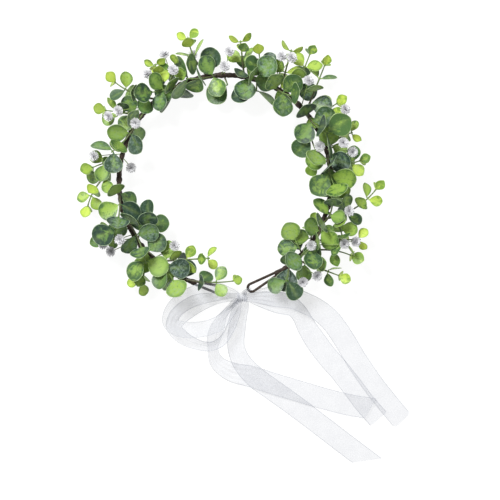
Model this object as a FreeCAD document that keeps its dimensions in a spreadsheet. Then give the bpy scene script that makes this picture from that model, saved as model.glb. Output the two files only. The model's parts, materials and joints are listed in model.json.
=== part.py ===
"""Eucalyptus flower crown tied with an organza bow: a parametric FreeCAD model in millimetres.

The crown lies flat. The middle of the head opening is on the Z axis and the crown rests on Z = 0.
+Y is the front of the crown. The two ends of the ring face each other at the back, -Y, by the bow.
A place on the ring is an angle in degrees, anticlockwise from +X, and a place round the ring's own
thickness is a clock angle: 0 faces outward, 90 up and 180 inward.
"""
import FreeCAD
import Part
import Sketcher
import itertools
import math
import os
import random
from collections import namedtuple
from FreeCAD import Placement, Rotation, Vector

UP = Vector(0, 0, 1)
SIZES = {
    # the wire ring, open at the back, and the paper tape wound on it
    "ring_radius": 92.5,
    "ring_height": 17.0,
    "wire_radius": 1.15,
    "wrap_radius": 2.2,
    "front_split_angle": 84.0,
    "left_end_angle": 253.0,
    "right_end_angle": -60.5,
    "split_gap": 0.5,
    # tape lashings on the ring, and the longer ones that hold the end loops
    "band_radius": 2.8,
    "band_angle": 2.2,
    "band_play": 0.05,
    "lashing_radius": 3.3,
    "lashing_bore": 2.8,
    "lashing_length": 7.0,
    # wire loops at the two ends
    "loop_length": 29.0,
    "loop_bend_radius": 3.5,
    "loop_root_offset": 1.25,
    # leaves and their stems
    "leaf_thickness": 0.8,
    "leaf_base_width": 1.4,
    "small_leaf_length": 9.0,
    "small_leaf_ratio": 0.75,
    "large_leaf_length": 19.0,
    "large_leaf_ratio": 0.95,
    "stem_radius": 0.6,
    "stem_gap": 0.5,
    "clearance": 0.4,
    # flowers
    "flower_radius": 4.7,
    "flower_base_radius": 1.6,
    "flower_depth": 3.4,
    "flower_stem_radius": 0.35,
    # ribbon
    "ribbon_width": 19.0,
    "ribbon_thickness": 0.4,
    "knot_radius": 3.8,
    "knot_end_radius": 2.6,
    "knot_length": 9.0,
    "knot_x": 14.8,
    "knot_y": -101.5,
    "knot_z": 13.0,
    # travel of the joints, in degrees
    "ring_closed": -1.0,
    "ring_open": 8.0,
    "tip_low": -10.0,
    "tip_high": 25.0,
    "tails_drop": 90.0,
    "bow_drop": 54.0,
}

# A sprig is bound on the ring at root (ring angle) and clock, and its stem runs in one arc to tip.
# The arc's middle is pushed sideways by bend, to the left of the way it grows, and up by rise.
# Opposite leaves change from first to last in length, and turn twists the last pair: 0 is level.
# The last pairs, as many as moving says, ride on a part of the stem that bends by hand.
Sprig = namedtuple("Sprig", "bunch root clock tip bend rise pairs first last turn moving")
SPRIGS = (
    # large leaves that lie along the ring, right half and then left half
    Sprig(5, 40, 90, (96, 33, 38), -3, 3, 4, 19, 21, 0, 0),
    Sprig(2, 62, 90, (75, 68, 37), -3, 4, 4, 18, 20, 0, 0),
    Sprig(1, 79, 90, (49, 88, 36), -2, 4, 4, 18, 20, 90, 0),
    Sprig(7, 14, 90, (96, -14, 36), -2, 3, 4, 18, 20, 90, 0),
    Sprig(10, -26, 90, (60, -74, 33), 3, 4, 4, 17, 18, 90, 0),
    Sprig(12, 95, 90, (-42, 86, 34), 2, 4, 3, 17, 19, 0, 0),
    Sprig(13, 111, 90, (-72, 73, 32), 2, 4, 4, 17, 17, 90, 0),
    Sprig(15, 145, 90, (-103, 17, 33), 3, 4, 4, 17, 18, 0, 0),
    Sprig(17, 184, 80, (-95, -54, 34), 3, 4, 4, 17, 20, 0, 0),
    Sprig(18, 201, 90, (-64, -80, 33), 3, 4, 4, 18, 18, 0, 0),
    Sprig(19, 220, 90, (-38, -94, 29), 3, 4, 4, 17, 18, 90, 0),
    # right half, from the front round to the back
    Sprig(5, 35.5, 105, (90, 4, 30), -5, 4, 4, 16, 21, 0, 0),
    Sprig(1, 70, 60, (29, 114, 34), 0, 3, 3, 19, 11, 90, 0),
    Sprig(1, 72, 165, (27, 62, 17), 0, 3, 1, 21, 21, 0, 0),
    Sprig(1, 80, 40, (13, 125, 32), 0, 4, 4, 14, 10, 0, 2),
    Sprig(2, 59, 30, (59, 118, 27), 0, 3, 4, 14, 10, 0, 2),
    Sprig(3, 51, 50, (76, 115, 31), 0, 4, 4, 17, 11, 90, 0),
    Sprig(4, 41, 35, (89, 106, 28), 0, 4, 4, 18, 11, 90, 0),
    Sprig(5, 28, 20, (101, 72, 24), 4, 3, 4, 13, 11, 90, 0),
    Sprig(6, 18, 20, (115, 44, 26), 2, 3, 3, 13, 10, 0, 0),
    Sprig(7, 6, 30, (123, 19, 26), 0, 3, 4, 17, 11, 90, 0),
    Sprig(6, 11, 160, (72, 16, 18), 0, 3, 2, 14, 12, 0, 0),
    Sprig(8, -24, 95, (94, -6, 31), -4, 4, 4, 18, 15, 0, 0),
    Sprig(8, -20, 25, (137, -3, 24), -5, 4, 5, 15, 11, 90, 2),
    Sprig(9, -33, 15, (123, -51, 21), 0, 3, 3, 13, 10, 0, 0),
    Sprig(9, -17, 50, (105, -61, 27), 3, 3, 5, 14, 13, 0, 0),
    Sprig(9, -34, 150, (77, -35, 27), 0, 4, 2, 16, 14, 90, 0),
    Sprig(10, -40, 5, (117, -66, 15), 3, 3, 3, 14, 12, 90, 0),
    Sprig(10, -43, 140, (58, -45, 27), 0, 5, 3, 17, 17, 90, 0),
    Sprig(11, -47, 0, (106, -85, 15), 0, 3, 4, 15, 11, 90, 2),
    Sprig(11, -53, 80, (52, -95, 28), 0, 4, 2, 19, 16, 0, 0),
    # left half, from the front round to the back
    Sprig(12, 100, 55, (-34, 128, 31), 3, 4, 5, 20, 10, 0, 2),
    Sprig(12, 90, 200, (7, 72, 11), 0, 2, 1, 19, 19, 0, 0),
    Sprig(13, 120, 45, (-42, 106, 28), 0, 3, 3, 15, 10, 90, 0),
    Sprig(13, 126, 50, (-61, 105, 29), 0, 3, 4, 14, 9, 0, 0),
    Sprig(13, 121, 150, (-44, 64, 20), 0, 3, 2, 19, 19, 0, 0),
    Sprig(14, 131, 30, (-101, 88, 26), 3, 4, 4, 17, 11, 90, 2),
    Sprig(15, 143, 15, (-110, 62, 22), 0, 3, 4, 16, 11, 90, 0),
    Sprig(16, 168, 20, (-121, 9, 24), 0, 3, 3, 15, 12, 90, 0),
    Sprig(16, 173, 10, (-123, -28, 20), -4, 4, 5, 14, 11, 90, 2),
    Sprig(17, 206, 15, (-112, -52, 19), 0, 3, 3, 14, 12, 90, 0),
    Sprig(18, 213, 145, (-60, -29, 28), 0, 5, 4, 17, 17, 0, 0),
    Sprig(18, 222, 0, (-76, -95, 13), 3, 3, 4, 15, 11, 0, 2),
    Sprig(19, 235, 0, (-53, -98, 16), 0, 3, 2, 20, 20, 0, 0),
    Sprig(19, 231, 150, (-8, -67, 22), 0, 4, 5, 15, 10, 0, 0),
    Sprig(19, 243, 70, (15, -87, 27), -3, 4, 4, 16, 11, 90, 0),
)
LAST_RIGHT_BUNCH = 11
SEED = 21

# Where the first and last pairs of leaves sit, as parts of the stem's length, and how much of the
# last leaves' length reaches past the stem's end.
FIRST_STATION, LAST_STATION = 0.14, 0.96
TIP_REACH = 0.5

# The angle between a leaf and its stem, in degrees, at the stem's root and at its tip.
ROOT_FOLD, TIP_FOLD = 72.0, 50.0

# Gaps in millimetres: from a stem to the foot of its own leaf, and the least to that stem, to the
# floor and to the ribbon.
LEAF_STANDOFF = 0.9
OWN_STEM_GAP = 0.1
FLOOR_PLAY = 0.2
RIBBON_PLAY = 0.3

# How far a leaf's face is turned to the sky, from 0 to 1, at a stem's root and at its tip.
ROOT_FACING, TIP_FACING = (0.5, 1.0), (0.1, 0.9)

# How far leaves differ at random: in angle to the stem, in twist round it, and in length.
FOLD_SPREAD, TWIST_SPREAD, LENGTH_SPREAD = 6, 9, (0.97, 1.12)

# Steps in degrees for turning a leaf that is in the way, and the size it may shrink to.
FOLD_STEP, TWIST_STEP, ROLL_STEP = 12, 14, 25
SMALLER, SMALLER_COST = 0.82, 2.5
MOST_TRIES = 110

# Flower heads by spray: the ring angle where the spray is bound, then each head's place.
SPRAYS = (
    (90, ((4, 109, 36), (0, 97, 34))),
    (63, ((49, 105, 34), (57, 103, 33))),
    (45, ((72, 84, 37),)),
    (30, ((103, 60, 33),)),
    (17, ((101, 31, 40), (109, 24, 36), (82, 29, 30))),
    (-20, ((106, -27, 36),)),
    (-36, ((102, -55, 32), (112, -53, 30))),
    (-44, ((74, -57, 34),)),
    (-50, ((67, -87, 31), (79, -82, 29))),
    (118, ((-52, 108, 28), (-66, 91, 32), (-44, 93, 38))),
    (104, ((-28, 108, 26),)),
    (137, ((-90, 59, 37), (-99, 55, 31), (-76, 49, 35))),
    (166, ((-112, 21, 28), (-82, 12, 22))),
    (210, ((-89, -51, 37), (-104, -55, 28), (-98, -61, 25))),
    (228, ((-44, -57, 30),)),
)
SPRAY_STEP = 1.8

# How far a head may rise, in millimetres, and a foot move round the ring, in degrees, to get clear.
HEAD_SHIFTS = (0, 1.5, -1.5, 3, -3, 4.5, -4.5, 6, 7.5, 9)
FOOT_SHIFTS = (0, 1.5, -1.5, 3, -3, 4.5, -4.5, 6, -6)
FLOWER_GAP = 0.3
OPEN_STEM = 0.93  # the part of a flower's stem that is outside its head

# How far bound stems stand off the tape, and flower stems off the lashings.
STEM_PLAY, FLOWER_STEM_PLAY = 0.05, 0.1

# Where tape is lashed round the ring, beside each bunch.
BAND_ANGLES = {
    "right": (76, 66, 55, 46, 33, 23, 1, -14, -29, -38),
    "left": (92, 109, 115, 134, 150, 161, 179, 196, 218, 227),
}

# A ribbon piece follows stations (x, y, z, across, bank, spread). The ribbon's width points along
# the heading across, raised by bank, and is spread times the full width.
RIBBONS = {
    "bow_loop_upper": (
        (9.6, -98.7, 16.6, 102, 0, 0.4),
        (5.0, -97.6, 19.8, 100, 4, 0.5),
        (-3.0, -96.4, 22.2, 94, 16, 0.8),
        (-18.0, -97.6, 22.6, 102, 20, 1.0),
        (-32.5, -103.0, 20.6, 120, 26, 1.0),
        (-44.2, -112.5, 17.8, 147, 38, 1.0),
        (-47.5, -123.0, 16.0, 190, 50, 1.0),
        (-41.0, -128.5, 14.6, 236, 50, 1.0),
        (-30.0, -130.0, 13.4, 266, 48, 1.0),
        (-16.0, -128.5, 12.8, 280, 44, 1.0),
        (-4.0, -123.5, 12.6, 300, 34, 0.85),
        (5.0, -113.0, 13.0, 325, 16, 0.55),
        (9.2, -105.6, 13.2, 340, 5, 0.38),
    ),
    "bow_loop_lower": (
        (8.6, -101.5, 10.8, 95, 0, 0.38),
        (-6.0, -102.5, 11.2, 98, 4, 0.5),
        (-24.0, -107.0, 8.2, 112, 8, 0.85),
        (-39.5, -117.0, 5.2, 135, 8, 0.9),
        (-45.5, -128.0, 4.4, 178, 14, 0.75),
        (-38.5, -137.0, 5.4, 225, 34, 0.7),
        (-27.0, -143.0, 6.6, 254, 48, 0.7),
        (-14.0, -145.5, 7.0, 278, 50, 0.7),
        (-3.0, -141.0, 7.4, 312, 46, 0.7),
        (4.0, -130.5, 7.8, 340, 40, 0.6),
        (8.5, -117.5, 8.4, 352, 24, 0.5),
        (10.6, -106.8, 8.8, 355, 5, 0.38),
    ),
    "ribbon_hitch": (
        (16.8, -97.2, 15.2, 119.5, 0, 0.18),
        (18.6, -95.9, 18.2, 119.5, 0, 0.18),
        (20.3, -94.8, 19.1, 119.5, 0, 0.18),
        (22.0, -93.8, 18.2, 119.5, 0, 0.18),
        (22.5, -93.5, 17.0, 119.5, 0, 0.18),
        (22.0, -93.8, 15.8, 119.5, 0, 0.18),
        (20.3, -94.8, 14.9, 119.5, 0, 0.18),
        (17.6, -96.9, 13.2, 119.5, 0, 0.18),
    ),
    "ribbon_gather": (
        (20.0, -101.5, 13.0, 90, 0, 0.45),
        (30.0, -101.5, 12.8, 88, 0, 0.8),
        (42.0, -103.5, 11.2, 86, 0, 1.12),
        (53.0, -105.5, 9.4, 84, 0, 1.3),
    ),
    "ribbon_tail_1": (
        (59.0, -103.2, 8.6, 80, -4, 1.0),
        (68.0, -106.0, 7.0, 64, -6, 1.0),
        (81.0, -112.5, 4.8, 52, -5, 1.0),
        (93.5, -123.0, 3.0, 44, 0, 1.0),
        (104.5, -138.5, 2.4, 34, 0, 1.0),
        (115.0, -156.0, 2.2, 34, 0, 1.0),
        (128.5, -176.0, 2.2, 38, 0, 1.0),
        (140.0, -191.0, 1.9, 38, 0, 1.0),
        (156.5, -211.0, 1.6, 38, 0, 1.0),
    ),
    "ribbon_tail_2": (
        (59.5, -110.5, 5.6, 78, -10, 0.85),
        (66.0, -117.5, 3.2, 42, -10, 0.85),
        (71.5, -127.5, 1.4, 30, 0, 0.9),
        (79.5, -140.0, 0.6, 32, 0, 1.0),
        (89.5, -153.5, 0.2, 40, 0, 1.0),
        (102.0, -168.0, 0.2, 42, 0, 1.0),
        (114.5, -184.0, 0.2, 40, 0, 1.0),
        (124.0, -196.5, 0.2, 38, 0, 1.0),
        (135.6, -209.8, 0.2, 36, 0, 1.0),
    ),
    "ribbon_tail_3": (
        (9.0, -107.0, 6.4, 200, 0, 0.4),
        (-3.0, -118.0, 3.0, 205, 0, 0.7),
        (-9.0, -134.0, 0.9, 190, 0, 0.75),
        (-11.0, -148.5, 0.4, 186, 0, 0.5),
        (-7.0, -160.0, 0.5, 215, 0, 0.7),
        (6.0, -168.5, 0.9, 245, 0, 0.9),
        (23.5, -172.5, 1.8, 258, 0, 1.0),
        (44.0, -179.0, 2.2, 254, 0, 1.0),
        (66.0, -185.5, 2.4, 254, 0, 1.0),
        (88.0, -192.0, 2.4, 255, 0, 1.0),
        (108.0, -197.0, 2.6, 258, 0, 1.0),
        (118.0, -199.2, 3.0, 257, 0, 1.0),
        (128.5, -200.4, 3.2, 242, 0, 1.05),
    ),
    "ribbon_tail_4": (
        (17.0, -108.0, 7.0, 175, 0, 0.4),
        (12.5, -119.0, 3.2, 182, 0, 0.7),
        (10.0, -132.0, 0.9, 182, 0, 0.8),
        (9.5, -146.0, 0.2, 190, 0, 0.8),
        (14.5, -159.5, 0.2, 212, 0, 0.9),
        (26.5, -173.0, 0.2, 230, 0, 1.0),
        (41.5, -184.0, 0.2, 234, 0, 1.0),
        (59.0, -196.5, 0.2, 234, 0, 1.0),
        (79.0, -211.5, 0.2, 233, 0, 1.0),
        (100.5, -228.0, 0.2, 232, 0, 1.0),
        (125.3, -246.9, 0.2, 190, 0, 1.36),
    ),
}
RIBBON_BODIES = {"bow_loop": "bow", "ribbon_tail": "tails"}


def make_document():
    """The document and its sheet of driving dimensions, one alias to a row."""
    doc = FreeCAD.newDocument("flower_crown")
    sheet = doc.addObject("Spreadsheet::Sheet", "sizes")
    for row, (alias, value) in enumerate(SIZES.items(), start=1):
        sheet.set(f"A{row}", alias)
        sheet.set(f"B{row}", str(value))
        sheet.setAlias(f"B{row}", alias)
    doc.recompute()
    return doc, sheet


DOC, SHEET = make_document()


def size(alias):
    return float(SHEET.get(alias))


def bind(item, expressions):
    """Bind an object's properties to expressions on the sheet."""
    for name, expression in expressions.items():
        item.setExpression(name, expression)


def ring_point(angle, clock=0.0, offset=0.0):
    """A point beside the ring's centreline: offset away from it, at a clock angle."""
    turn, tilt = math.radians(angle), math.radians(clock)
    radius = size("ring_radius") + offset * math.cos(tilt)
    height = size("ring_height") + offset * math.sin(tilt)
    return Vector(radius * math.cos(turn), radius * math.sin(turn), height)


def knot_place():
    return Vector(size("knot_x"), size("knot_y"), size("knot_z"))


# ---------------------------------------------------------------- bodies and their travel
# A joint turns its body on its parent about an axis through anchor. A follower turns with another
# joint, ratio times as far.
Joint = namedtuple("Joint", "body parent anchor axis low high follows ratio")
JOINTS = {}


def add_joint(name, body, parent, anchor, axis, low, high, follows=None, ratio=1.0):
    JOINTS[name] = Joint(body, parent, anchor, axis, low, high, follows, ratio)


def joint_angle(name, angles):
    joint = JOINTS[name]
    if joint.follows:
        return joint.ratio * joint_angle(joint.follows, angles)
    return angles.get(name, 0.0)


def body_place(body, angles):
    """Where a body is when each named joint has turned by its angle."""
    for name, joint in JOINTS.items():
        if joint.body == body:
            turn = Rotation(joint.axis, joint_angle(name, angles))
            return body_place(joint.parent, angles).multiply(Placement(Vector(), turn, joint.anchor))
    return Placement()


def travel_poses(bodies):
    """The poses in which two bodies are kept apart: all joints together, then each one alone."""
    drivers = {name: joint for name, joint in JOINTS.items() if not joint.follows}
    poses = [{name: joint.low for name, joint in drivers.items()}]
    poses.append({name: joint.high for name, joint in drivers.items()})
    for name, joint in drivers.items():
        if joint.body in bodies or not name.startswith("sprig"):
            poses += [{name: joint.low}, {name: joint.low / 2}]
            poses += [{name: joint.high * step / 4} for step in (1, 2, 3, 4)]
    return poses


MOVES = {}


def moves_between(first, second):
    """Every placement of the first body as the second one sees it, at rest and over the travel."""
    if (first, second) not in MOVES:
        moves = [Placement()]
        for angles in travel_poses((first, second)) if first != second else ():
            move = body_place(second, angles).inverse().multiply(body_place(first, angles))
            if not any(move.isSame(other, 1e-6) for other in moves):
                moves.append(move)
        MOVES[first, second] = moves
    return MOVES[first, second]


def add_ribbon_joints():
    pivot, axis = knot_place(), Vector(1, 0, 0)
    add_joint("tails_hang", "tails", "ring_right", pivot, axis, 0.0, size("tails_drop"))
    ratio = size("bow_drop") / size("tails_drop")
    add_joint("bow_hang", "bow", "ring_right", pivot, axis, 0.0, size("bow_drop"), "tails_hang", ratio)


def add_ring_joint():
    pivot = ring_point(size("front_split_angle"))
    low, high = size("ring_closed"), size("ring_open")
    add_joint("ring_opening", "ring_right", "ring_left", pivot, UP, low, high)


# ---------------------------------------------------------------- the wire ring
def torus(label, radius, start, end):
    """A length of round bar bent to the ring, between two ring angles given as expressions."""
    item = DOC.addObject("Part::Torus", label)
    bind(item, {
        "Radius1": "sizes.ring_radius",
        "Radius2": radius,
        "Angle3": f"({end}) - ({start})",
        ".Placement.Base.z": "sizes.ring_height",
        ".Placement.Rotation.Angle": start,
    })
    return item


def sleeve(label, outer, inner, start, end):
    """A tube bent to the ring, such as the paper tape on the wire."""
    item = DOC.addObject("Part::Cut", label)
    item.Base = torus(label + "_outside", outer, start, end)
    item.Tool = torus(label + "_inside", inner, start, end)
    return item


def make_ring_half(half):
    """A half ring's wire and its paper tape, with half of the front gap taken off."""
    slack = "0.5 * sizes.split_gap / sizes.ring_radius * 180 / pi"
    start, end = "sizes.right_end_angle", f"sizes.front_split_angle - {slack}"
    if half == "left":
        start, end = f"sizes.front_split_angle + {slack}", "sizes.left_end_angle"
    torus(f"ring_wire_{half}", "sizes.wire_radius", start, end)
    sleeve(f"ring_wrap_{half}", "sizes.wrap_radius", "sizes.wire_radius", start, end)


def end_heading(half):
    """The way the ring runs on from its end, as a heading."""
    return size("left_end_angle") + 90 if half == "left" else size("right_end_angle") - 90


def draw_loop_path(path):
    """A narrow U along +X: two runs that open to the bend radius, tangent to a half-round end."""
    offset, bend = size("loop_root_offset"), size("loop_bend_radius")
    centre = Vector(size("loop_length") - bend, 0, 0)
    side = Vector(0, bend, 0)
    first = path.addGeometry(Part.LineSegment(Vector(0, offset, 0), centre + side))
    arc = path.addGeometry(Part.ArcOfCircle(Part.Circle(centre, UP, bend), -math.pi / 2, math.pi / 2))
    second = path.addGeometry(Part.LineSegment(centre - side, Vector(0, -offset, 0)))
    start, end, middle = 1, 2, 3
    path.addConstraint(Sketcher.Constraint("Tangent", first, end, arc, end))
    path.addConstraint(Sketcher.Constraint("Tangent", second, start, arc, start))
    path.addConstraint(Sketcher.Constraint("PointOnObject", first, start, -2))
    path.addConstraint(Sketcher.Constraint("PointOnObject", second, end, -2))
    path.addConstraint(Sketcher.Constraint("PointOnObject", arc, middle, -1))
    radius = path.addConstraint(Sketcher.Constraint("Radius", arc, bend))
    reach = path.addConstraint(Sketcher.Constraint("DistanceX", -1, 1, arc, middle, centre.x))
    upper = path.addConstraint(Sketcher.Constraint("DistanceY", -1, 1, first, start, offset))
    lower = path.addConstraint(Sketcher.Constraint("DistanceY", second, end, -1, 1, offset))
    bind(path, {
        f"Constraints[{radius}]": "sizes.loop_bend_radius",
        f"Constraints[{reach}]": "sizes.loop_length - sizes.loop_bend_radius",
        f"Constraints[{upper}]": "sizes.loop_root_offset",
        f"Constraints[{lower}]": "sizes.loop_root_offset",
    })


def draw_loop_section(section):
    offset, radius = size("loop_root_offset"), size("wire_radius")
    circle = section.addGeometry(Part.Circle(Vector(offset, 0, 0), UP, radius))
    section.addConstraint(Sketcher.Constraint("PointOnObject", circle, 3, -1))
    rim = section.addConstraint(Sketcher.Constraint("Radius", circle, radius))
    side = section.addConstraint(Sketcher.Constraint("DistanceX", -1, 1, circle, 3, offset))
    bind(section, {
        f"Constraints[{rim}]": "sizes.wire_radius",
        f"Constraints[{side}]": "sizes.loop_root_offset",
    })


def add_sketch(body, label, plane):
    """A sketch on one of the body's own origin planes."""
    sketch = body.newObject("Sketcher::SketchObject", label)
    planes = {feature.Role: feature for feature in body.Origin.OriginFeatures}
    sketch.AttachmentSupport = (planes[plane], "")
    sketch.MapMode = "FlatFace"
    return sketch


def make_end_loop(half):
    """The ring's end: wire bent to a narrow loop in the plane of the ring, for the ribbon."""
    body = DOC.addObject("PartDesign::Body", f"end_loop_{half}")
    path = add_sketch(body, f"loop_path_{half}", "XY_Plane")
    draw_loop_path(path)
    section = add_sketch(body, f"loop_section_{half}", "YZ_Plane")
    draw_loop_section(section)
    pipe = body.newObject("PartDesign::AdditivePipe", f"loop_pipe_{half}")
    pipe.Profile = section
    pipe.Spine = path
    place = ring_point(size(f"{half}_end_angle"))
    body.Placement = Placement(place, Rotation(UP, end_heading(half)))


def make_lashing(half):
    """The tape wound over the ring's end and the roots of its loop, half on each."""
    lashing = DOC.addObject("Part::Cut", f"lashing_{half}")
    lashing.Base = DOC.addObject("Part::Cylinder", f"lashing_{half}_outside")
    lashing.Tool = DOC.addObject("Part::Cylinder", f"lashing_{half}_inside")
    along = Rotation(UP, end_heading(half)).multVec(Vector(1, 0, 0))
    start = ring_point(size(f"{half}_end_angle")) - along * (size("lashing_length") / 2)
    for item, radius in ((lashing.Base, "lashing_radius"), (lashing.Tool, "lashing_bore")):
        bind(item, {"Radius": f"sizes.{radius}", "Height": "sizes.lashing_length"})
        item.Placement = Placement(start, Rotation(UP, along))
    return lashing


def make_bands(half):
    """The tape lashings of one half: one beside each bunch, and the longer one at the end loop."""
    links = [make_lashing(half)]
    bore = "sizes.wrap_radius + sizes.band_play"
    for index, angle in enumerate(BAND_ANGLES[half], start=1):
        start, end = f"{angle} - sizes.band_angle / 2", f"{angle} + sizes.band_angle / 2"
        links.append(sleeve(f"band_{half}_{index}", "sizes.band_radius", bore, start, end))
    group = DOC.addObject("Part::Compound", f"tape_bands_{half}")
    group.Links = links


# ---------------------------------------------------------------- keeping pieces apart
class Obstacle:
    """A piece that leaves keep clear of: points over it, each the middle of a ball of its reach."""

    def __init__(self, points, reach, body):
        self.points, self.reach, self.body = points, reach, body
        box = FreeCAD.BoundBox()
        for point in points:
            box.add(point)
        self.centre, self.span = box.Center, box.DiagonalLength / 2 + reach


def leaf_width(length):
    """Small leaves are narrow for their length, and large ones nearly round."""
    small, large = size("small_leaf_length"), size("large_leaf_length")
    share = min(max((length - small) / (large - small), 0.0), 1.0)
    return length * (size("small_leaf_ratio") * (1 - share) + size("large_leaf_ratio") * share)


class Leaf(Obstacle):
    """A flat blade in its own frame: +X from base to tip, +Z its face, and a round outer end."""

    STEP = 1.6

    def __init__(self, place, length, body):
        self.place, self.length = place, length
        self.inverse = place.inverse()
        self.radius = leaf_width(length) / 2
        self.base = size("leaf_base_width") / 2
        self.middle = length - self.radius
        corner = Vector(-self.middle, self.base, 0)
        spread = math.acos(self.radius / corner.Length)
        self.joint_angle = math.atan2(corner.y, corner.x) - spread
        self.shoulder = self.middle + self.radius * math.cos(self.joint_angle)
        points, columns = [], math.ceil(length / self.STEP)
        for column in range(columns + 1):
            along = length * column / columns
            rows = max(1, math.ceil(2 * self.half_width(along) / self.STEP))
            for row in range(rows + 1):
                side = self.half_width(along) * (2 * row / rows - 1)
                points.append(place.multVec(Vector(along, side, 0)))
        super().__init__(points, size("leaf_thickness") / 2, body)

    def half_width(self, along):
        along = min(max(along, 0.0), self.length)
        if along < self.shoulder:
            edge = self.radius * math.sin(self.joint_angle)
            return self.base + (edge - self.base) * along / self.shoulder
        return math.sqrt(max(self.radius ** 2 - (along - self.middle) ** 2, 0.0))

    def holds(self, point, reach):
        """Whether a ball at the point would touch the blade."""
        local = self.inverse.multVec(point)
        if abs(local.z) > reach + self.reach or not -reach < local.x < self.length + reach:
            return False
        return abs(local.y) < self.half_width(local.x) + reach

    def solid(self):
        """The blade: two straight sides that run tangent into the round end."""
        half = Vector(0, 0, self.reach)
        corner = Vector(self.shoulder, self.radius * math.sin(self.joint_angle), 0) - half
        base, tip = Vector(0, self.base, 0) - half, Vector(self.length, 0, 0) - half
        mirror = Rotation(Vector(1, 0, 0), 180)
        low_corner, low_base = (mirror.multVec(point) - half * 2 for point in (corner, base))
        edges = (
            Part.LineSegment(base, corner),
            Part.Arc(corner, tip, low_corner),
            Part.LineSegment(low_corner, low_base),
            Part.LineSegment(low_base, base),
        )
        outline = Part.Wire([edge.toShape() for edge in edges])
        blade = Part.Face(outline).extrude(half * 2)
        blade.Placement = self.place
        return blade


def touches(leaf, other, gap):
    """Whether a leaf comes within the gap of another piece, at rest or over the travel."""
    for move in moves_between(leaf.body, other.body):
        if move.multVec(leaf.centre).distanceToPoint(other.centre) > leaf.span + other.span + gap:
            continue
        back = move.inverse()
        if any(leaf.holds(back.multVec(point), other.reach + gap) for point in other.points):
            return True
        if isinstance(other, Leaf):
            if any(other.holds(move.multVec(point), leaf.reach + gap) for point in leaf.points):
                return True
    return False


def off_ring(leaf):
    """Whether a leaf keeps off the floor and clear of the ring with its tape."""
    room = size("band_radius") + leaf.reach + size("clearance")
    for point in leaf.points:
        outward = math.hypot(point.x, point.y) - size("ring_radius")
        if math.hypot(outward, point.z - size("ring_height")) < room:
            return False
        if point.z < FLOOR_PLAY + leaf.reach:
            return False
    return True


# ---------------------------------------------------------------- stems
Stem = namedtuple("Stem", "sprig label body tip_body edge hinge")
POINT_STEP = 1.2
RIBBON_POINT_STEP = 2.5


def half_of(bunch):
    return "right" if bunch <= LAST_RIGHT_BUNCH else "left"


def stem_edge(sprig):
    """The arc of a sprig's stem, from the side of the ring to where its last leaves start."""
    start = ring_point(sprig.root, sprig.clock, size("wrap_radius") + size("stem_radius") + STEM_PLAY)
    along = Vector(*sprig.tip) - start
    end = start + along * (1 - TIP_REACH * sprig.last / along.Length)
    along = end - start
    side = UP.cross(along).normalize()
    middle = (start + end) * 0.5 + side * sprig.bend + UP * sprig.rise
    return Part.Arc(start, middle, end).toShape()


def arc_point(edge, part):
    return edge.valueAt(edge.getParameterByLength(edge.Length * part))


def arc_tangent(edge, part):
    return edge.tangentAt(edge.getParameterByLength(edge.Length * part)).normalize()


def arc_piece(edge, start, end):
    """The stretch of an arc between two parts of its length."""
    points = [arc_point(edge, part) for part in (start, (start + end) / 2, end)]
    return Part.Arc(*points).toShape()


def rod(edge, radius):
    """A round rod along an edge."""
    start = edge.FirstParameter
    circle = Part.Wire(Part.makeCircle(radius, edge.valueAt(start), edge.tangentAt(start)))
    return Part.Wire(edge).makePipe(Part.Face(circle))


def rod_points(edge):
    count = max(2, round(edge.Length / POINT_STEP))
    return [arc_point(edge, index / count) for index in range(count + 1)]


def station(sprig, index):
    """Where on the stem a pair of leaves sits, as a part of its length."""
    if sprig.pairs == 1:
        return (FIRST_STATION + LAST_STATION) / 2
    return FIRST_STATION + (LAST_STATION - FIRST_STATION) * index / (sprig.pairs - 1)


def plan_stem(sprig, number):
    """A sprig's stem, with a hinge in it when its outer leaves can be bent by hand."""
    body = "ring_" + half_of(sprig.bunch)
    edge = stem_edge(sprig)
    if not sprig.moving:
        return Stem(sprig, None, body, body, edge, None)
    label = f"sprig_{number}"
    last_fixed = sprig.pairs - sprig.moving - 1
    hinge = (station(sprig, last_fixed) + station(sprig, last_fixed + 1)) / 2
    axis = arc_tangent(edge, hinge).cross(UP).normalize()
    anchor = arc_point(edge, hinge)
    add_joint(f"{label}_bend", f"{label}_tip", body, anchor, axis, size("tip_low"), size("tip_high"))
    return Stem(sprig, label, body, f"{label}_tip", edge, hinge)


def stem_rods(stem):
    """The stem's rods, each with its body. A hinged stem has a small gap at its hinge."""
    if stem.hinge is None:
        return [(stem.edge, stem.body)]
    slack = size("stem_gap") / 2 / stem.edge.Length
    inner = arc_piece(stem.edge, 0.0, stem.hinge - slack)
    outer = arc_piece(stem.edge, stem.hinge + slack, 1.0)
    return [(inner, stem.body), (outer, stem.tip_body)]


# ---------------------------------------------------------------- leaves
def adjustment_cost(way):
    """How far a way of turning a leaf is from leaving it alone, in steps."""
    fold, twist, roll, scale = way
    steps = abs(fold) / FOLD_STEP + abs(twist) / TWIST_STEP + abs(roll) / ROLL_STEP
    return steps + (SMALLER_COST if scale < 1 else 0)


def adjustments():
    """Ways to turn a leaf that is in the way, the smallest first: fold, twist, roll and scale."""
    folds, twists, rolls = ([step * count for count in (0, -1, 1, -2, 2)]
                            for step in (FOLD_STEP, TWIST_STEP, ROLL_STEP))
    ways = itertools.product(folds, twists, rolls, (1.0, SMALLER))
    return sorted(ways, key=adjustment_cost)[:MOST_TRIES]


ADJUSTMENTS = adjustments()


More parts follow.
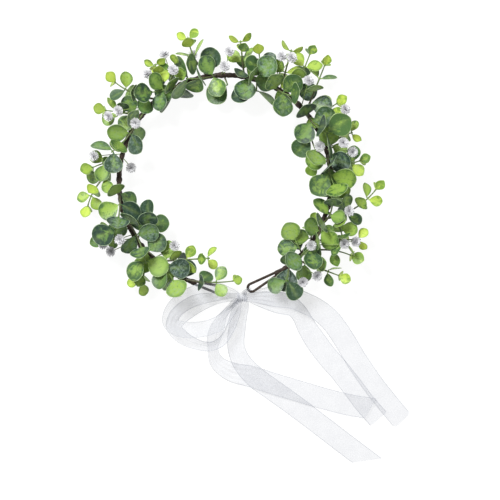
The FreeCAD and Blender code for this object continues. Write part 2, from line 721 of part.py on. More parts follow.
def leaf_at(stem, part, length, twist, fold, facing, roll, body):
    """A leaf on the stem: fold is its angle to the stem, and facing turns its face to the sky."""
    tangent = arc_tangent(stem.edge, part)
    level = UP.cross(tangent).normalize()
    outward = Rotation(tangent, twist).multVec(level)
    lean = math.radians(fold)
    axis = tangent * math.cos(lean) + outward * math.sin(lean)
    face = axis.cross(tangent.cross(outward)).normalize()
    if face.z < 0:
        face = face * -1
    sky = (UP - axis * axis.dot(UP)).normalize()
    angle = math.degrees(face.getAngle(sky))
    if face.cross(sky).dot(axis) < 0:
        angle = -angle
    face = Rotation(axis, facing * angle + roll).multVec(face)
    base = arc_point(stem.edge, part) + outward * (size("stem_radius") + LEAF_STANDOFF)
    return Leaf(Placement(base, Rotation(axis, face.cross(axis), face, "XZY")), length, body)


def is_free(leaf, obstacles, own_rods):
    if not off_ring(leaf):
        return False
    if any(touches(leaf, other, OWN_STEM_GAP) for other in own_rods):
        return False
    gap = size("clearance")
    return not any(touches(leaf, other, gap) for other in obstacles if other not in own_rods)


def grow_leaf(stem, part, length, twist, fold, facing, body, obstacles, own_rods):
    """The first way to turn a leaf that leaves it clear of everything else, or no leaf at all."""
    for fold_by, twist_by, roll_by, scale in ADJUSTMENTS:
        leaf = leaf_at(stem, part, length * scale, twist + twist_by, fold + fold_by, facing, roll_by, body)
        if is_free(leaf, obstacles, own_rods):
            return leaf
    return None


def grow_sprig(stem, rng, obstacles, own_rods, leaves):
    """Opposite pairs along one stem, each pair turned a quarter turn from the one before."""
    sprig = stem.sprig
    for index in range(sprig.pairs):
        part = station(sprig, index)
        along = index / max(sprig.pairs - 1, 1)
        moving = index >= sprig.pairs - sprig.moving
        body = stem.tip_body if moving else stem.body
        node = f"{stem.label}_tip_leaves" if moving else f"bunch_{sprig.bunch:02d}_leaves"
        length = sprig.first + (sprig.last - sprig.first) * along
        fold = ROOT_FOLD + (TIP_FOLD - ROOT_FOLD) * along + rng.uniform(-FOLD_SPREAD, FOLD_SPREAD)
        twist = sprig.turn + 90 * (sprig.pairs - 1 - index) + rng.uniform(-TWIST_SPREAD, TWIST_SPREAD)
        for side in (0, 180):
            low, high = (root + (tip - root) * along for root, tip in zip(ROOT_FACING, TIP_FACING))
            facing = rng.uniform(low, high)
            long = length * rng.uniform(*LENGTH_SPREAD)
            leaf = grow_leaf(stem, part, long, twist + side, fold, facing, body, obstacles, own_rods)
            if leaf:
                obstacles.append(leaf)
                leaves.setdefault(node, []).append(leaf)


# ---------------------------------------------------------------- flowers
def flower_lean(foot, head):
    """The way a flower head faces: half along its stem and half up."""
    return ((head - foot).normalize() + UP).normalize()


def flower_foot(angle, head):
    """Where a flower's stem leaves the ring: on the side that faces the head."""
    turn = math.radians(angle)
    outward = head.x * math.cos(turn) + head.y * math.sin(turn) - size("ring_radius")
    clock = math.degrees(math.atan2(head.z - size("ring_height"), outward))
    return ring_point(angle, clock, size("band_radius") + size("flower_stem_radius") + FLOWER_STEM_PLAY)


def flower_obstacles(foot, head, body):
    middle = head + flower_lean(foot, head) * (size("flower_depth") / 2)
    end = foot + (head - foot) * OPEN_STEM
    stem = Obstacle(rod_points(Part.LineSegment(foot, end).toShape()), size("flower_stem_radius"), body)
    corner = math.hypot(size("flower_radius"), size("flower_depth") / 2)
    return stem, Obstacle([middle], corner, body)


def meets(first, second, gap):
    """Whether two pieces made of balls come within the gap, at rest or over the travel."""
    reach = first.reach + second.reach + gap
    for move in moves_between(first.body, second.body):
        if move.multVec(first.centre).distanceToPoint(second.centre) > first.span + second.span + gap:
            continue
        for point in first.points:
            moved = move.multVec(point)
            if any(moved.distanceToPoint(other) < reach for other in second.points):
                return True
    return False


def place_flower(angle, head, body, obstacles):
    """The first foot on the ring and height of the head that leave a flower clear of the rest."""
    ways = itertools.product(HEAD_SHIFTS, FOOT_SHIFTS)
    for lift, shift in sorted(ways, key=lambda way: abs(way[0]) + abs(way[1])):
        place = head + UP * lift
        foot = flower_foot(angle + shift, place)
        pieces = flower_obstacles(foot, place, body)
        if not any(meets(piece, other, FLOWER_GAP) for piece in pieces for other in obstacles):
            obstacles += pieces
            return foot, place
    raise RuntimeError(f"no room for the flower at {head}")


def make_flower(number, foot, head):
    """A stem from the ring to the underside of a head, and the head, which leans outward a little."""
    stem = DOC.addObject("Part::Cylinder", f"flower_stem_{number}")
    bind(stem, {"Radius": "sizes.flower_stem_radius"})
    stem.Height = (head - foot).Length - size("flower_stem_radius")
    stem.Placement = Placement(foot, Rotation(UP, head - foot))
    bloom = DOC.addObject("Part::Cone", f"flower_{number}")
    bind(bloom, {
        "Radius1": "sizes.flower_base_radius",
        "Radius2": "sizes.flower_radius",
        "Height": "sizes.flower_depth",
    })
    bloom.Placement = Placement(head, Rotation(UP, flower_lean(foot, head)))
    return stem, bloom


# ---------------------------------------------------------------- ribbon
def ribbon_section(stations, index):
    """The ribbon's section at a station: a thin rectangle square to its run."""
    x, y, z, across, bank, spread = stations[index]
    before, after = stations[max(index - 1, 0)], stations[min(index + 1, len(stations) - 1)]
    run = Vector(*after[:3]) - Vector(*before[:3])
    heading, tilt = math.radians(across), math.radians(bank)
    width = Vector(math.cos(heading) * math.cos(tilt), math.sin(heading) * math.cos(tilt), math.sin(tilt))
    half = width * (size("ribbon_width") * spread / 2)
    thick = run.cross(width).normalize() * (size("ribbon_thickness") / 2)
    return Vector(x, y, z), half, thick


def ribbon_solid(stations):
    """A strip lofted straight from each station to the next."""
    wires = []
    for index in range(len(stations)):
        middle, half, thick = ribbon_section(stations, index)
        right, left = middle + half, middle - half
        corners = [right + thick, left + thick, left - thick, right - thick]
        wires.append(Part.makePolygon(corners + corners[:1]))
    return Part.makeLoft(wires, True, True)


def ribbon_points(stations):
    """Points over a strip, close enough together that no leaf passes between them."""
    points = []
    for index in range(len(stations) - 1):
        (start, half, _), (end, next_half, _) = (ribbon_section(stations, index + k) for k in (0, 1))
        steps = max(1, round((end - start).Length / RIBBON_POINT_STEP))
        for step in range(steps + 1):
            part = step / steps
            middle, reach = start + (end - start) * part, half + (next_half - half) * part
            points += [middle + reach * (0.25 * side) for side in range(-4, 5)]
    return points


def ribbon_body(label):
    for prefix, body in RIBBON_BODIES.items():
        if label.startswith(prefix):
            return body
    return "ring_right"


def make_knot():
    """The knot: a short barrel of ribbon wound round the gathered strands, along X."""
    body = DOC.addObject("PartDesign::Body", "bow_knot")
    profile = add_sketch(body, "knot_profile", "XY_Plane")
    half, end, middle = size("knot_length") / 2, size("knot_end_radius"), size("knot_radius")
    left, right = Vector(-half, end, 0), Vector(half, end, 0)
    foot_left, foot_right = Vector(-half, 0, 0), Vector(half, 0, 0)
    arc = Part.Arc(left, Vector(0, middle, 0), right)
    for edge in (Part.LineSegment(foot_left, left), arc, Part.LineSegment(right, foot_right),
                 Part.LineSegment(foot_right, foot_left)):
        profile.addGeometry(edge)
    revolution = body.newObject("PartDesign::Revolution", "knot_turn")
    revolution.Profile = profile
    revolution.ReferenceAxis = (profile, ["H_Axis"])
    revolution.Angle = 360
    bind(body, {
        ".Placement.Base.x": "sizes.knot_x",
        ".Placement.Base.y": "sizes.knot_y",
        ".Placement.Base.z": "sizes.knot_z",
    })


# ---------------------------------------------------------------- putting it together
def add_group(label, solids):
    item = DOC.addObject("Part::Feature", label)
    item.Shape = Part.makeCompound(solids) if len(solids) > 1 else solids[0]


def link_group(label, items):
    group = DOC.addObject("Part::Compound", label)
    group.Links = items


def make_ring():
    for half in ("left", "right"):
        make_ring_half(half)
        make_end_loop(half)
        make_bands(half)


def make_ribbons(obstacles):
    make_knot()
    for label, stations in RIBBONS.items():
        add_group(label, [ribbon_solid(stations)])
        body = ribbon_body(label)
        obstacles.append(Obstacle(ribbon_points(stations), size("ribbon_thickness") / 2 + RIBBON_PLAY, body))
    obstacles.append(Obstacle([knot_place()], size("knot_length") / 2 + 1, "ring_right"))


def make_flowers(obstacles):
    stems, blooms = {"left": [], "right": []}, {"left": [], "right": []}
    for angle, heads in SPRAYS:
        half = "right" if angle < size("front_split_angle") else "left"
        for index, head in enumerate(heads):
            foot, place = place_flower(angle + index * SPRAY_STEP, Vector(*head), "ring_" + half, obstacles)
            stem, bloom = make_flower(len(stems["left"]) + len(stems["right"]) + 1, foot, place)
            stems[half].append(stem)
            blooms[half].append(bloom)
    for half in ("left", "right"):
        link_group(f"flower_stems_{half}", stems[half])
        link_group(f"flower_heads_{half}", blooms[half])


def make_stems(obstacles):
    """Every sprig's stem, and the obstacle that each of its rods is."""
    stems = [plan_stem(sprig, number) for number, sprig in enumerate(SPRIGS, start=1)]
    rods, own_rods = {}, []
    for stem in stems:
        own_rods.append([])
        for edge, body in stem_rods(stem):
            fixed = body == stem.body
            node = f"stems_{half_of(stem.sprig.bunch)}" if fixed else f"{stem.label}_tip_stem"
            rods.setdefault(node, []).append(rod(edge, size("stem_radius")))
            own_rods[-1].append(Obstacle(rod_points(edge), size("stem_radius"), body))
        obstacles += own_rods[-1]
    for label, solids in rods.items():
        add_group(label, solids)
    return list(zip(stems, own_rods))


def make_leaves(stems, obstacles):
    """The leaves of every sprig, which keep clear of whatever is there already."""
    rng, leaves = random.Random(SEED), {}
    for stem, own_rods in stems:
        grow_sprig(stem, rng, obstacles, own_rods, leaves)
    for label, group in leaves.items():
        add_group(label, [leaf.solid() for leaf in group])


def sub_parts():
    """The objects that are pieces of the crown: those that no other object is made from."""
    kinds = ("Part::", "PartDesign::Body")
    return [item for item in DOC.Objects if item.TypeId.startswith(kinds) and not item.InList]


def write_sub_parts():
    DOC.recompute()
    for item in DOC.Objects:
        if {"Invalid", "Error"} & set(item.State):
            raise RuntimeError(f"{item.Label}: {item.State}")
    os.makedirs("parts", exist_ok=True)
    for item in sub_parts():
        if item.Shape.isNull() or not item.Shape.isValid():
            raise RuntimeError(f"{item.Label}: the shape is not valid")
        item.Shape.exportStep(f"parts/{item.Label}.step")


def main():
    obstacles = []
    add_ring_joint()
    add_ribbon_joints()
    make_ring()
    make_ribbons(obstacles)
    stems = make_stems(obstacles)
    make_flowers(obstacles)
    make_leaves(stems, obstacles)
    write_sub_parts()


main()
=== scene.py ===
import bmesh
import bpy
import json
import math
import random
from mathutils import Matrix, Vector, noise


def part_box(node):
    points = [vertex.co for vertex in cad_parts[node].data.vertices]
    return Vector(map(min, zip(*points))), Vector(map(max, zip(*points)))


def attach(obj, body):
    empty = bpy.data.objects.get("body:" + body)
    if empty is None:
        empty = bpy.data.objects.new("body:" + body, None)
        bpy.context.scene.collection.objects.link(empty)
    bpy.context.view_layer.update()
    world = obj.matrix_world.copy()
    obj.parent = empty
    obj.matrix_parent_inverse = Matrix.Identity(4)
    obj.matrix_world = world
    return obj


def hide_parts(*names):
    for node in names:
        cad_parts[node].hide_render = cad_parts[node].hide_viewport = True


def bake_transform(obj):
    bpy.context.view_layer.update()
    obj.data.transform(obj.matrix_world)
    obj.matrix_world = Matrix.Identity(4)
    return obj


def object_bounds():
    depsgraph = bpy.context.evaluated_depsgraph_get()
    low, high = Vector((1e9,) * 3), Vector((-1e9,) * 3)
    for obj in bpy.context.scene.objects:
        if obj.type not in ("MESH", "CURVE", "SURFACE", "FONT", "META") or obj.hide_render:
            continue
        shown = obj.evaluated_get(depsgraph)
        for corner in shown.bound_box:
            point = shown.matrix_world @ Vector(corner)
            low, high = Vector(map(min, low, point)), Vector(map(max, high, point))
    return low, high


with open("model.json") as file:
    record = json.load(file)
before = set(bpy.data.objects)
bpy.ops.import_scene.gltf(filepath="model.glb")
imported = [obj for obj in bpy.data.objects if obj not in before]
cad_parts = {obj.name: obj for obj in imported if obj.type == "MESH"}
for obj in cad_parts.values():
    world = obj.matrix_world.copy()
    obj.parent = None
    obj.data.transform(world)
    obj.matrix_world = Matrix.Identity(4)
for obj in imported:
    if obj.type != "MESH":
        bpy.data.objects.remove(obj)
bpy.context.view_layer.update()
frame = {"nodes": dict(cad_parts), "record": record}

MM = 0.001
UP = Vector((0, 0, 1))
SEED = 11


# ---------------------------------------------------------------- reading the CAD solids
def solids(node):
    """The separate solids of a CAD node, each as its points and its faces' (normal, area)."""
    mesh = bmesh.new()
    mesh.from_mesh(frame["nodes"][node].data)
    bmesh.ops.remove_doubles(mesh, verts=mesh.verts, dist=1e-7)
    found, seen = [], set()
    for start in mesh.verts:
        if start in seen:
            continue
        seen.add(start)
        queue, faces = [start], {}
        for vert in queue:
            faces.update(dict.fromkeys(vert.link_faces))
            for edge in vert.link_edges:
                other = edge.other_vert(vert)
                if other not in seen:
                    seen.add(other)
                    queue.append(other)
        points = [vert.co.copy() for vert in queue]
        found.append((points, [(face.normal.copy(), face.calc_area()) for face in faces]))
    mesh.free()
    return found


def mean(points):
    return sum(points, Vector()) / len(points)


def clamped(value):
    """The value, kept between 0 and 1."""
    return min(1.0, max(0.0, value))


def furthest_pair(points):
    """The two of these points that are furthest apart."""
    return max(((a, b) for a in points for b in points), key=lambda pair: (pair[0] - pair[1]).length)


def broadest_normal(faces):
    """The direction that the largest flat side of a solid faces."""
    areas = {}
    for normal, area in faces:
        key = tuple(round(value, 2) for value in normal)
        areas[key] = areas.get(key, 0.0) + area
    return Vector(max(areas, key=areas.get)).normalized()


def nodes_named(*parts):
    """The CAD nodes whose names hold all of these parts."""
    return sorted(name for name in frame["nodes"] if all(part in name for part in parts))


BODY_OF = {node: body for body, nodes in frame["record"]["behaviour"]["bodies"].items() for node in nodes}


# ---------------------------------------------------------------- making meshes
class Shape:
    """A mesh under construction, with named values at its points."""

    def __init__(self):
        self.points, self.faces, self.values = [], [], {}

    def add_point(self, point, **values):
        for name, value in values.items():
            self.values.setdefault(name, {})[len(self.points)] = value
        self.points.append(Vector(point))
        return len(self.points) - 1

    def add_grid(self, rows, closed=False, flip=False):
        """Quads between rows of point numbers; closed joins each row's end to its start."""
        for low, high in zip(rows, rows[1:]):
            pairs = list(zip(range(len(low)), range(1, len(low))))
            if closed:
                pairs.append((len(low) - 1, 0))
            for a, b in pairs:
                face = (low[a], low[b], high[b], high[a])
                self.faces.append(face[::-1] if flip else face)

    def make(self, name, material, body=None):
        mesh = bpy.data.meshes.new(name)
        mesh.from_pydata([tuple(point) for point in self.points], [], self.faces)
        for value_name, values in self.values.items():
            layer = mesh.attributes.new(value_name, "FLOAT", "POINT")
            layer.data.foreach_set("value", [values.get(i, 0.0) for i in range(len(self.points))])
        mesh.materials.append(material)
        mesh.validate()
        mesh.shade_smooth()
        piece = bpy.data.objects.new(name, mesh)
        bpy.context.scene.collection.objects.link(piece)
        if body:
            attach(piece, body)
        return piece


def frames_along(path):
    """A direction and two sides at each point of a path, with as little turning as can be."""
    side, frames = None, []
    for index, point in enumerate(path):
        ahead, behind = path[min(index + 1, len(path) - 1)], path[max(index - 1, 0)]
        along = (ahead - behind).normalized()
        if side is None:
            side = along.cross(UP if abs(along.z) < 0.9 else Vector((1, 0, 0)))
        side = (side - along * side.dot(along)).normalized()
        frames.append((along, side, along.cross(side)))
    return frames


def add_tube(shape, path, radius_at, segments, **values_at):
    """A closed tube along a path. radius_at and each value are functions of (part of the length, angle)."""
    lengths = [0.0]
    for a, b in zip(path, path[1:]):
        lengths.append(lengths[-1] + (b - a).length)
    rows = []
    for point, (_, side, up), length in zip(path, frames_along(path), lengths):
        part = length / lengths[-1]
        row = []
        for step in range(segments):
            angle = 2 * math.pi * step / segments
            offset = (side * math.cos(angle) + up * math.sin(angle)) * radius_at(part, angle)
            values = {name: value_at(part, angle) for name, value_at in values_at.items()}
            row.append(shape.add_point(point + offset, **values))
        rows.append(row)
    shape.add_grid(rows, closed=True)
    shape.faces.append(tuple(rows[0][::-1]))
    shape.faces.append(tuple(rows[-1]))


def arc_through(start, middle, end, count):
    """Points along the circle through three points, or along a line where they are in line."""
    normal = (middle - start).cross(end - start)
    if normal.length < 1e-9:
        return [start.lerp(end, i / count) for i in range(count + 1)]
    normal.normalize()
    a, b = (start + middle) / 2, (middle + end) / 2
    along_a, along_b = normal.cross(middle - start), normal.cross(end - middle)
    reach = (b - a).cross(along_b).dot(normal) / along_a.cross(along_b).dot(normal)
    centre = a + along_a * reach
    out = start - centre
    sweep = out.angle(end - centre)
    if out.cross(end - centre).dot(normal) < 0:
        sweep = 2 * math.pi - sweep
    return [centre + Matrix.Rotation(sweep * i / count, 3, normal) @ out for i in range(count + 1)]


# ---------------------------------------------------------------- materials
class Look:
    """A short way to build a node material."""

    def __init__(self, name):
        self.material = bpy.data.materials.new(name)
        self.material.use_nodes = True
        self.tree = self.material.node_tree
        self.shader = self.tree.nodes["Principled BSDF"]

    def add(self, kind, inputs=(), **settings):
        node = self.tree.nodes.new(kind)
        for name, value in settings.items():
            setattr(node, name, value)
        for name, value in dict(inputs).items():
            self.feed(node.inputs[name], value)
        return node

    def feed(self, socket, value):
        if isinstance(value, bpy.types.NodeSocket):
            self.tree.links.new(value, socket)
        else:
            socket.default_value = value

    def value(self, name):
        """A named value that the mesh holds at its points."""
        return self.add("ShaderNodeAttribute", attribute_name=name).outputs["Fac"]

    def noise(self, scale, detail, roughness=0.55, distortion=0.0):
        inputs = {"Scale": scale, "Detail": detail, "Roughness": roughness, "Distortion": distortion}
        inputs["Vector"] = self.add("ShaderNodeTexCoord").outputs["Object"]
        return self.add("ShaderNodeTexNoise", inputs).outputs["Fac"]

    def maths(self, operation, a, b=0.0, clamp=False):
        node = self.add("ShaderNodeMath", {0: a, 1: b}, operation=operation, use_clamp=clamp)
        return node.outputs[0]

    def between(self, value, low, high, to_low=0.0, to_high=1.0):
        """The value rescaled from low..high to another range, and kept inside it."""
        inputs = {"Value": value, "From Min": low, "From Max": high, "To Min": to_low, "To Max": to_high}
        return self.add("ShaderNodeMapRange", inputs, interpolation_type="SMOOTHSTEP").outputs["Result"]

    def mix(self, factor, a, b):
        node = self.add("ShaderNodeMix", data_type="RGBA")
        sockets = [socket for socket in node.inputs if socket.enabled]
        for socket, value in zip(sockets, (factor, a, b)):
            self.feed(socket, value)
        return next(socket for socket in node.outputs if socket.enabled)

    def bump(self, height, strength, distance):
        inputs = {"Height": height, "Strength": strength, "Distance": distance}
        node = self.add("ShaderNodeBump", inputs)
        self.feed(self.shader.inputs["Normal"], node.outputs["Normal"])

    def finish(self, base, roughness, **uniform):
        """The finished material. Each uniform value is set on the shader's own socket."""
        self.feed(self.shader.inputs["Base Color"], base)
        self.feed(self.shader.inputs["Roughness"], roughness)
        for name, value in uniform.items():
            self.shader.inputs[name.replace("_", " ")].default_value = value
        return self.material


def colour(red, green, blue):
    return (red, green, blue, 1.0)


def leaf_material():
    """Moulded plastic leaf, from dark blue-green to lime by tone, blotched with a lighter green. A dusty
    bloom, veins and dark flecks lie over that.
    Light and shade are painted on too: a lighter middle, painted shade towards the margin and a thin painted
    highlight along the rim."""
    look = Look("leaf_plastic")
    tone, rim, vein, patch = look.value("tone"), look.value("rim"), look.value("vein"), look.value("patch")
    wobble = look.noise(210.0, 4.0, 0.65, distortion=0.8)
    # Painted light: inner is 1 over the middle of the leaf and falls to 0 towards its rim.
    inner = look.between(look.maths("ADD", rim, look.maths("MULTIPLY", wobble, 0.9)), 0.65, 1.30, 1.0, 0.0)
    deep = look.mix(look.between(tone, 0.0, 0.5), colour(0.016, 0.044, 0.026), colour(0.062, 0.145, 0.030))
    deep = look.mix(look.between(tone, 0.45, 1.0), deep, colour(0.190, 0.330, 0.036))
    light = look.mix(look.between(tone, 0.0, 0.5), colour(0.120, 0.230, 0.050), colour(0.290, 0.450, 0.068))
    light = look.mix(look.between(tone, 0.45, 1.0), light, colour(0.500, 0.640, 0.085))
    blotch = look.noise(150.0, 4.0, 0.62, distortion=1.2)
    blotch = look.maths("ADD", blotch, look.between(patch, 0.0, 1.0, -0.16, 0.20))
    # Painted light: the middle of each leaf is blotched lighter, as if lit there.
    blotch = look.maths("ADD", blotch, look.maths("MULTIPLY", inner, 0.12))
    blotch = look.maths("ADD", blotch, look.between(tone, 0.0, 0.6, -0.07, 0.02))
    base = look.mix(look.between(blotch, 0.42, 0.66), deep, light)
    dust = look.between(look.noise(420.0, 4.0, 0.7), 0.38, 0.72)
    dusted = look.mix(look.maths("MULTIPLY", dust, look.value("bloom")), base, colour(0.250, 0.340, 0.300))
    veined = look.mix(look.maths("MULTIPLY", vein, 0.30), dusted, colour(0.370, 0.490, 0.120))
    flecks = look.between(look.noise(330.0, 5.0, 0.75, distortion=1.2), 0.54, 0.68, 0.0, 0.65)
    flecked = look.mix(look.maths("MULTIPLY", flecks, look.between(rim, 0.5, 0.95, 1.0, 0.0)), veined, deep)
    # Painted highlight: a paler colour painted in a thin line along the rim below, as if the leaf's edge
    # caught the light.
    painted_rim_highlight = look.mix(tone, colour(0.360, 0.480, 0.290), colour(0.560, 0.690, 0.200))
    # Painted shade: the leaf darkens towards its margin, just inside the rim.
    margin = look.mix(look.between(rim, 0.55, 0.92, 0.0, 0.55), flecked, deep)
    rim_highlighted = look.mix(look.between(rim, 0.91, 0.99, 0.0, 0.8), margin, painted_rim_highlight)
    fine = look.noise(900.0, 2.0)
    relief = look.maths("ADD", look.maths("MULTIPLY", vein, -0.6), look.maths("MULTIPLY", fine, 0.5))
    look.bump(relief, 0.5, 0.0002)
    return look.finish(rim_highlighted, look.between(fine, 0.3, 0.7, 0.36, 0.56), Specular_IOR_Level=0.38)


def stem_material(name, green, brown):
    """A thin plastic stem, browner towards its root."""
    look = Look(name)
    root = look.between(look.value("root"), 0.15, 0.75)
    speckle = look.noise(600.0, 3.0)
    base = look.mix(root, green, brown)
    look.bump(speckle, 0.4, 0.0002)
    speckled = look.mix(look.between(speckle, 0.35, 0.7, 0.0, 0.35), base, colour(0.03, 0.04, 0.015))
    return look.finish(speckled, 0.5)


def tape_material():
    """Brown waxed paper tape, crinkled, darker in the hollows of its crinkle and paler where scuffed."""
    look = Look("paper_tape")
    crinkle, grain = look.noise(380.0, 5.0, 0.65, distortion=0.6), look.noise(1500.0, 3.0)
    base = look.mix(look.between(crinkle, 0.3, 0.7), colour(0.012, 0.008, 0.006), colour(0.060, 0.038, 0.027))
    scuff = look.between(look.noise(190.0, 4.0, 0.7), 0.58, 0.80, 0.0, 0.5)
    scuffed = look.mix(scuff, base, colour(0.150, 0.112, 0.085))
    look.bump(look.maths("ADD", crinkle, look.maths("MULTIPLY", grain, 0.3)), 0.7, 0.0006)
    return look.finish(scuffed, look.between(grain, 0.3, 0.7, 0.55, 0.8), Specular_IOR_Level=0.3)


def petal_material():
    """White flocked petals, with painted shade that greys them near the heart of the head."""
    look = Look("petal_white")
    # Painted shade: petals are painted greyer where depth is low, near the heart of the head, where shade
    # falls between them.
    heart = look.between(look.value("depth"), 0.0, 0.75)
    fine = look.noise(1400.0, 3.0)
    base = look.mix(heart, colour(0.42, 0.42, 0.45), colour(0.67, 0.67, 0.685))
    look.bump(fine, 0.3, 0.0001)
    return look.finish(base, look.between(fine, 0.3, 0.7, 0.6, 0.85), Sheen_Weight=0.15)


# From one thread of the organza to the next.
WARP_PITCH, WEFT_PITCH = 0.45 * MM, 0.48 * MM


def organza_material():
    """Sheer white organza: a fine open weave, with closer selvedges, and painted light where it is gathered,
    which lightens its folds against the shade their layers cast.
    """
    look = Look("organza")
    across, along, edge = look.value("across"), look.value("along"), look.value("selvedge")
    warp = look.maths("SINE", look.maths("MULTIPLY", across, 2 * math.pi / WARP_PITCH))
    weft = look.maths("SINE", look.maths("MULTIPLY", along, 2 * math.pi / WEFT_PITCH))
    weave = look.maths("ADD", look.maths("MULTIPLY", look.maths("MAXIMUM", warp, weft), 0.5), 0.5)
    cloud = look.noise(90.0, 3.0)
    cover = look.between(weave, 0.2, 0.95, 0.22, 0.38)
    cover = look.maths("ADD", cover, look.between(cloud, 0.3, 0.75, -0.03, 0.05))
    cover = look.maths("ADD", cover, look.maths("MULTIPLY", edge, 0.42), clamp=True)
    tint = look.mix(look.maths("MULTIPLY", edge, 0.6), colour(0.50, 0.515, 0.56), colour(0.36, 0.375, 0.42))
    # Painted light: where the ribbon is gathered its tint is lightened, offsetting the shade that its
    # overlapping layers cast on each other.
    tint = look.mix(look.between(look.value("gather"), 0.30, 0.75), tint, colour(0.74, 0.75, 0.80))
    look.feed(look.shader.inputs["Alpha"], cover)
    look.bump(weave, 0.25, 0.0002)
    return look.finish(tint, 0.5, Specular_IOR_Level=0.35, Sheen_Weight=0.3)


LEAF = leaf_material()
STEM = stem_material("stem_plastic", colour(0.14, 0.22, 0.05), colour(0.07, 0.065, 0.03))
FLOWER_STEM = stem_material("flower_stem_plastic", colour(0.30, 0.42, 0.12), colour(0.20, 0.30, 0.08))
TAPE = tape_material()
PETAL = petal_material()
ORGANZA = organza_material()


# ---------------------------------------------------------------- stems
# How many steps a stem's line has, and how far apart the rings of points of its CAD rod are at least.
STEM_STEPS, ROD_STEP = 24, 0.25 * MM
# A stem's radius at its root, how much less it is at its tip, and how much more at a pair of leaves,
# in millimetres, with the part of its length over which it swells there.
STEM_ROOT, STEM_TAPER, JOINT_SWELLING, JOINT_REACH = 0.95, 0.45, 0.22, 0.018


class Stem:
    """The centreline of a CAD rod, as points from its root to its tip."""

    def __init__(self, node, points):
        self.node, self.body = node, BODY_OF[node]
        ends = furthest_pair(points[::3])
        chord = (ends[1] - ends[0]).normalized()
        ordered = sorted(points, key=lambda point: (point - ends[0]).dot(chord))
        rings, ring = [], [ordered[0]]
        for point in ordered[1:]:
            if (point - ring[-1]).dot(chord) > ROD_STEP and len(ring) >= 6:
                rings.append(mean(ring))
                ring = []
            ring.append(point)
        rings.append(mean(ring))
        middle = rings[len(rings) // 2] if len(rings) > 2 else rings[0].lerp(rings[-1], 0.5)
        self.line = arc_through(rings[0], middle, rings[-1], STEM_STEPS)
        if ring_gap(self.line[-1]) < ring_gap(self.line[0]):
            self.line.reverse()


WRAP_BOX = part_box("ring_wrap_left")
WRAP_RADIUS = (WRAP_BOX[1][2] - WRAP_BOX[0][2]) / 2
RING_HEIGHT = (WRAP_BOX[1][2] + WRAP_BOX[0][2]) / 2
RING_RADIUS = -WRAP_BOX[0][0] - WRAP_RADIUS


def ring_place(turn):
    """The place on the ring's centreline at an angle, in radians."""
    return Vector((RING_RADIUS * math.cos(turn), RING_RADIUS * math.sin(turn), RING_HEIGHT))


def ring_gap(point):
    """How far a point is from the ring's centreline."""
    return math.hypot(math.hypot(point.x, point.y) - RING_RADIUS, point.z - RING_HEIGHT)


def find_stems():
    names = nodes_named("stem")
    return [Stem(name, points) for name in names if "flower" not in name for points, _ in solids(name)]


STEMS = find_stems()

# How near its stem's line the foot of a leaf is, as a rule and at most.
LEAF_REACH, STALK_REACH = 2.2 * MM, 3.6 * MM
# How many points of its line a stem without leaves keeps.
STUB_POINTS = 6


def stem_near(point, body):
    """The nearest point of a stem to a place, with the stem's direction there."""
    best = None
    for stem in STEMS:
        if stem.body != body:
            continue
        for index, place in enumerate(stem.line):
            gap = (place - point).length
            if best is None or gap < best[0]:
                after = stem.line[min(index + 1, len(stem.line) - 1)]
                before = stem.line[max(index - 1, 0)]
                best = (gap, place, (after - before).normalized())
    return best[1], best[2]


def add_stem(shape, line, joints):
    """A tapered stem with a small swelling at each pair of leaves, which sit at parts of its length."""
    def radius(part, angle):
        swelling = sum(JOINT_SWELLING * math.exp(-((part - at) / JOINT_REACH) ** 2) for at in joints)
        return (STEM_ROOT - STEM_TAPER * part + swelling) * MM

    add_tube(shape, line, radius, 8, root=lambda part, angle: 1 - part)


def leaf_parts(line, bases, reach=LEAF_REACH):
    """Where along a stem's line its leaves sit, as parts of the line."""
    parts = set()
    for base in bases:
        gaps = [(place - base).length for place in line]
        nearest = min(gaps)
        if nearest < reach:
            parts.add(gaps.index(nearest) / (len(line) - 1))
    return parts


def spline(before, start, end, after, t):
    """A place on the smooth span from start to end; t goes from 0 to 1. Works for numbers and for points."""
    square = 2 * before - 5 * start + 4 * end - after
    cube = 3 * start - before - 3 * end + after
    return 0.5 * (2 * start + (end - before) * t + square * t * t + cube * t ** 3)


def curve_through(points, count):
    """A smooth line through points, with count points a span."""
    line = []
    for index in range(len(points) - 1):
        before = points[max(index - 1, 0)]
        after = points[min(index + 2, len(points) - 1)]
        for step in range(count):
            line.append(spline(before, points[index], points[index + 1], after, step / count))
    return line + [points[-1]]


# ---------------------------------------------------------------- leaves
LEAF_ROWS, LEAF_COLUMNS = 12, 10
LEAF_THICKNESS = 0.5 * MM
# How much broader than its CAD plate a leaf is, and the groove along its midrib.
LEAF_BREADTH, RIB_GROOVE = 1.03, 0.06 * MM
# A leaf is lime at one length and plain green from another on, and a little paler when it lies low.
LIME_LENGTH, PLAIN_LENGTH = 10.0 * MM, 16.5 * MM
LOW_LEAF, HIGH_LEAF = 6.0 * MM, 26.0 * MM


class Blade:
    """The place and size of a CAD leaf: its frame's X runs from base to tip, and Z is its upper face."""

    def __init__(self, points, faces):
        middle = mean(points)
        corner = max(points, key=lambda point: (point - middle).length)
        foot = [point for point in points if (point - corner).length < 1.8 * MM]
        base = mean(foot)
        along = (mean([point for point in points if point not in foot]) - base).normalized()
        face = broadest_normal(faces)
        face = (face - along * face.dot(along)).normalized()
        if face.z < 0:
            face = -face
        side = face.cross(along)
        self.base = base
        self.length = max((point - base).dot(along) for point in points)
        self.half_width = max(abs((point - base).dot(side)) for point in points)
        rotation = Matrix((along, side, face)).transposed()
        self.matrix = Matrix.Translation(base) @ rotation.to_4x4()


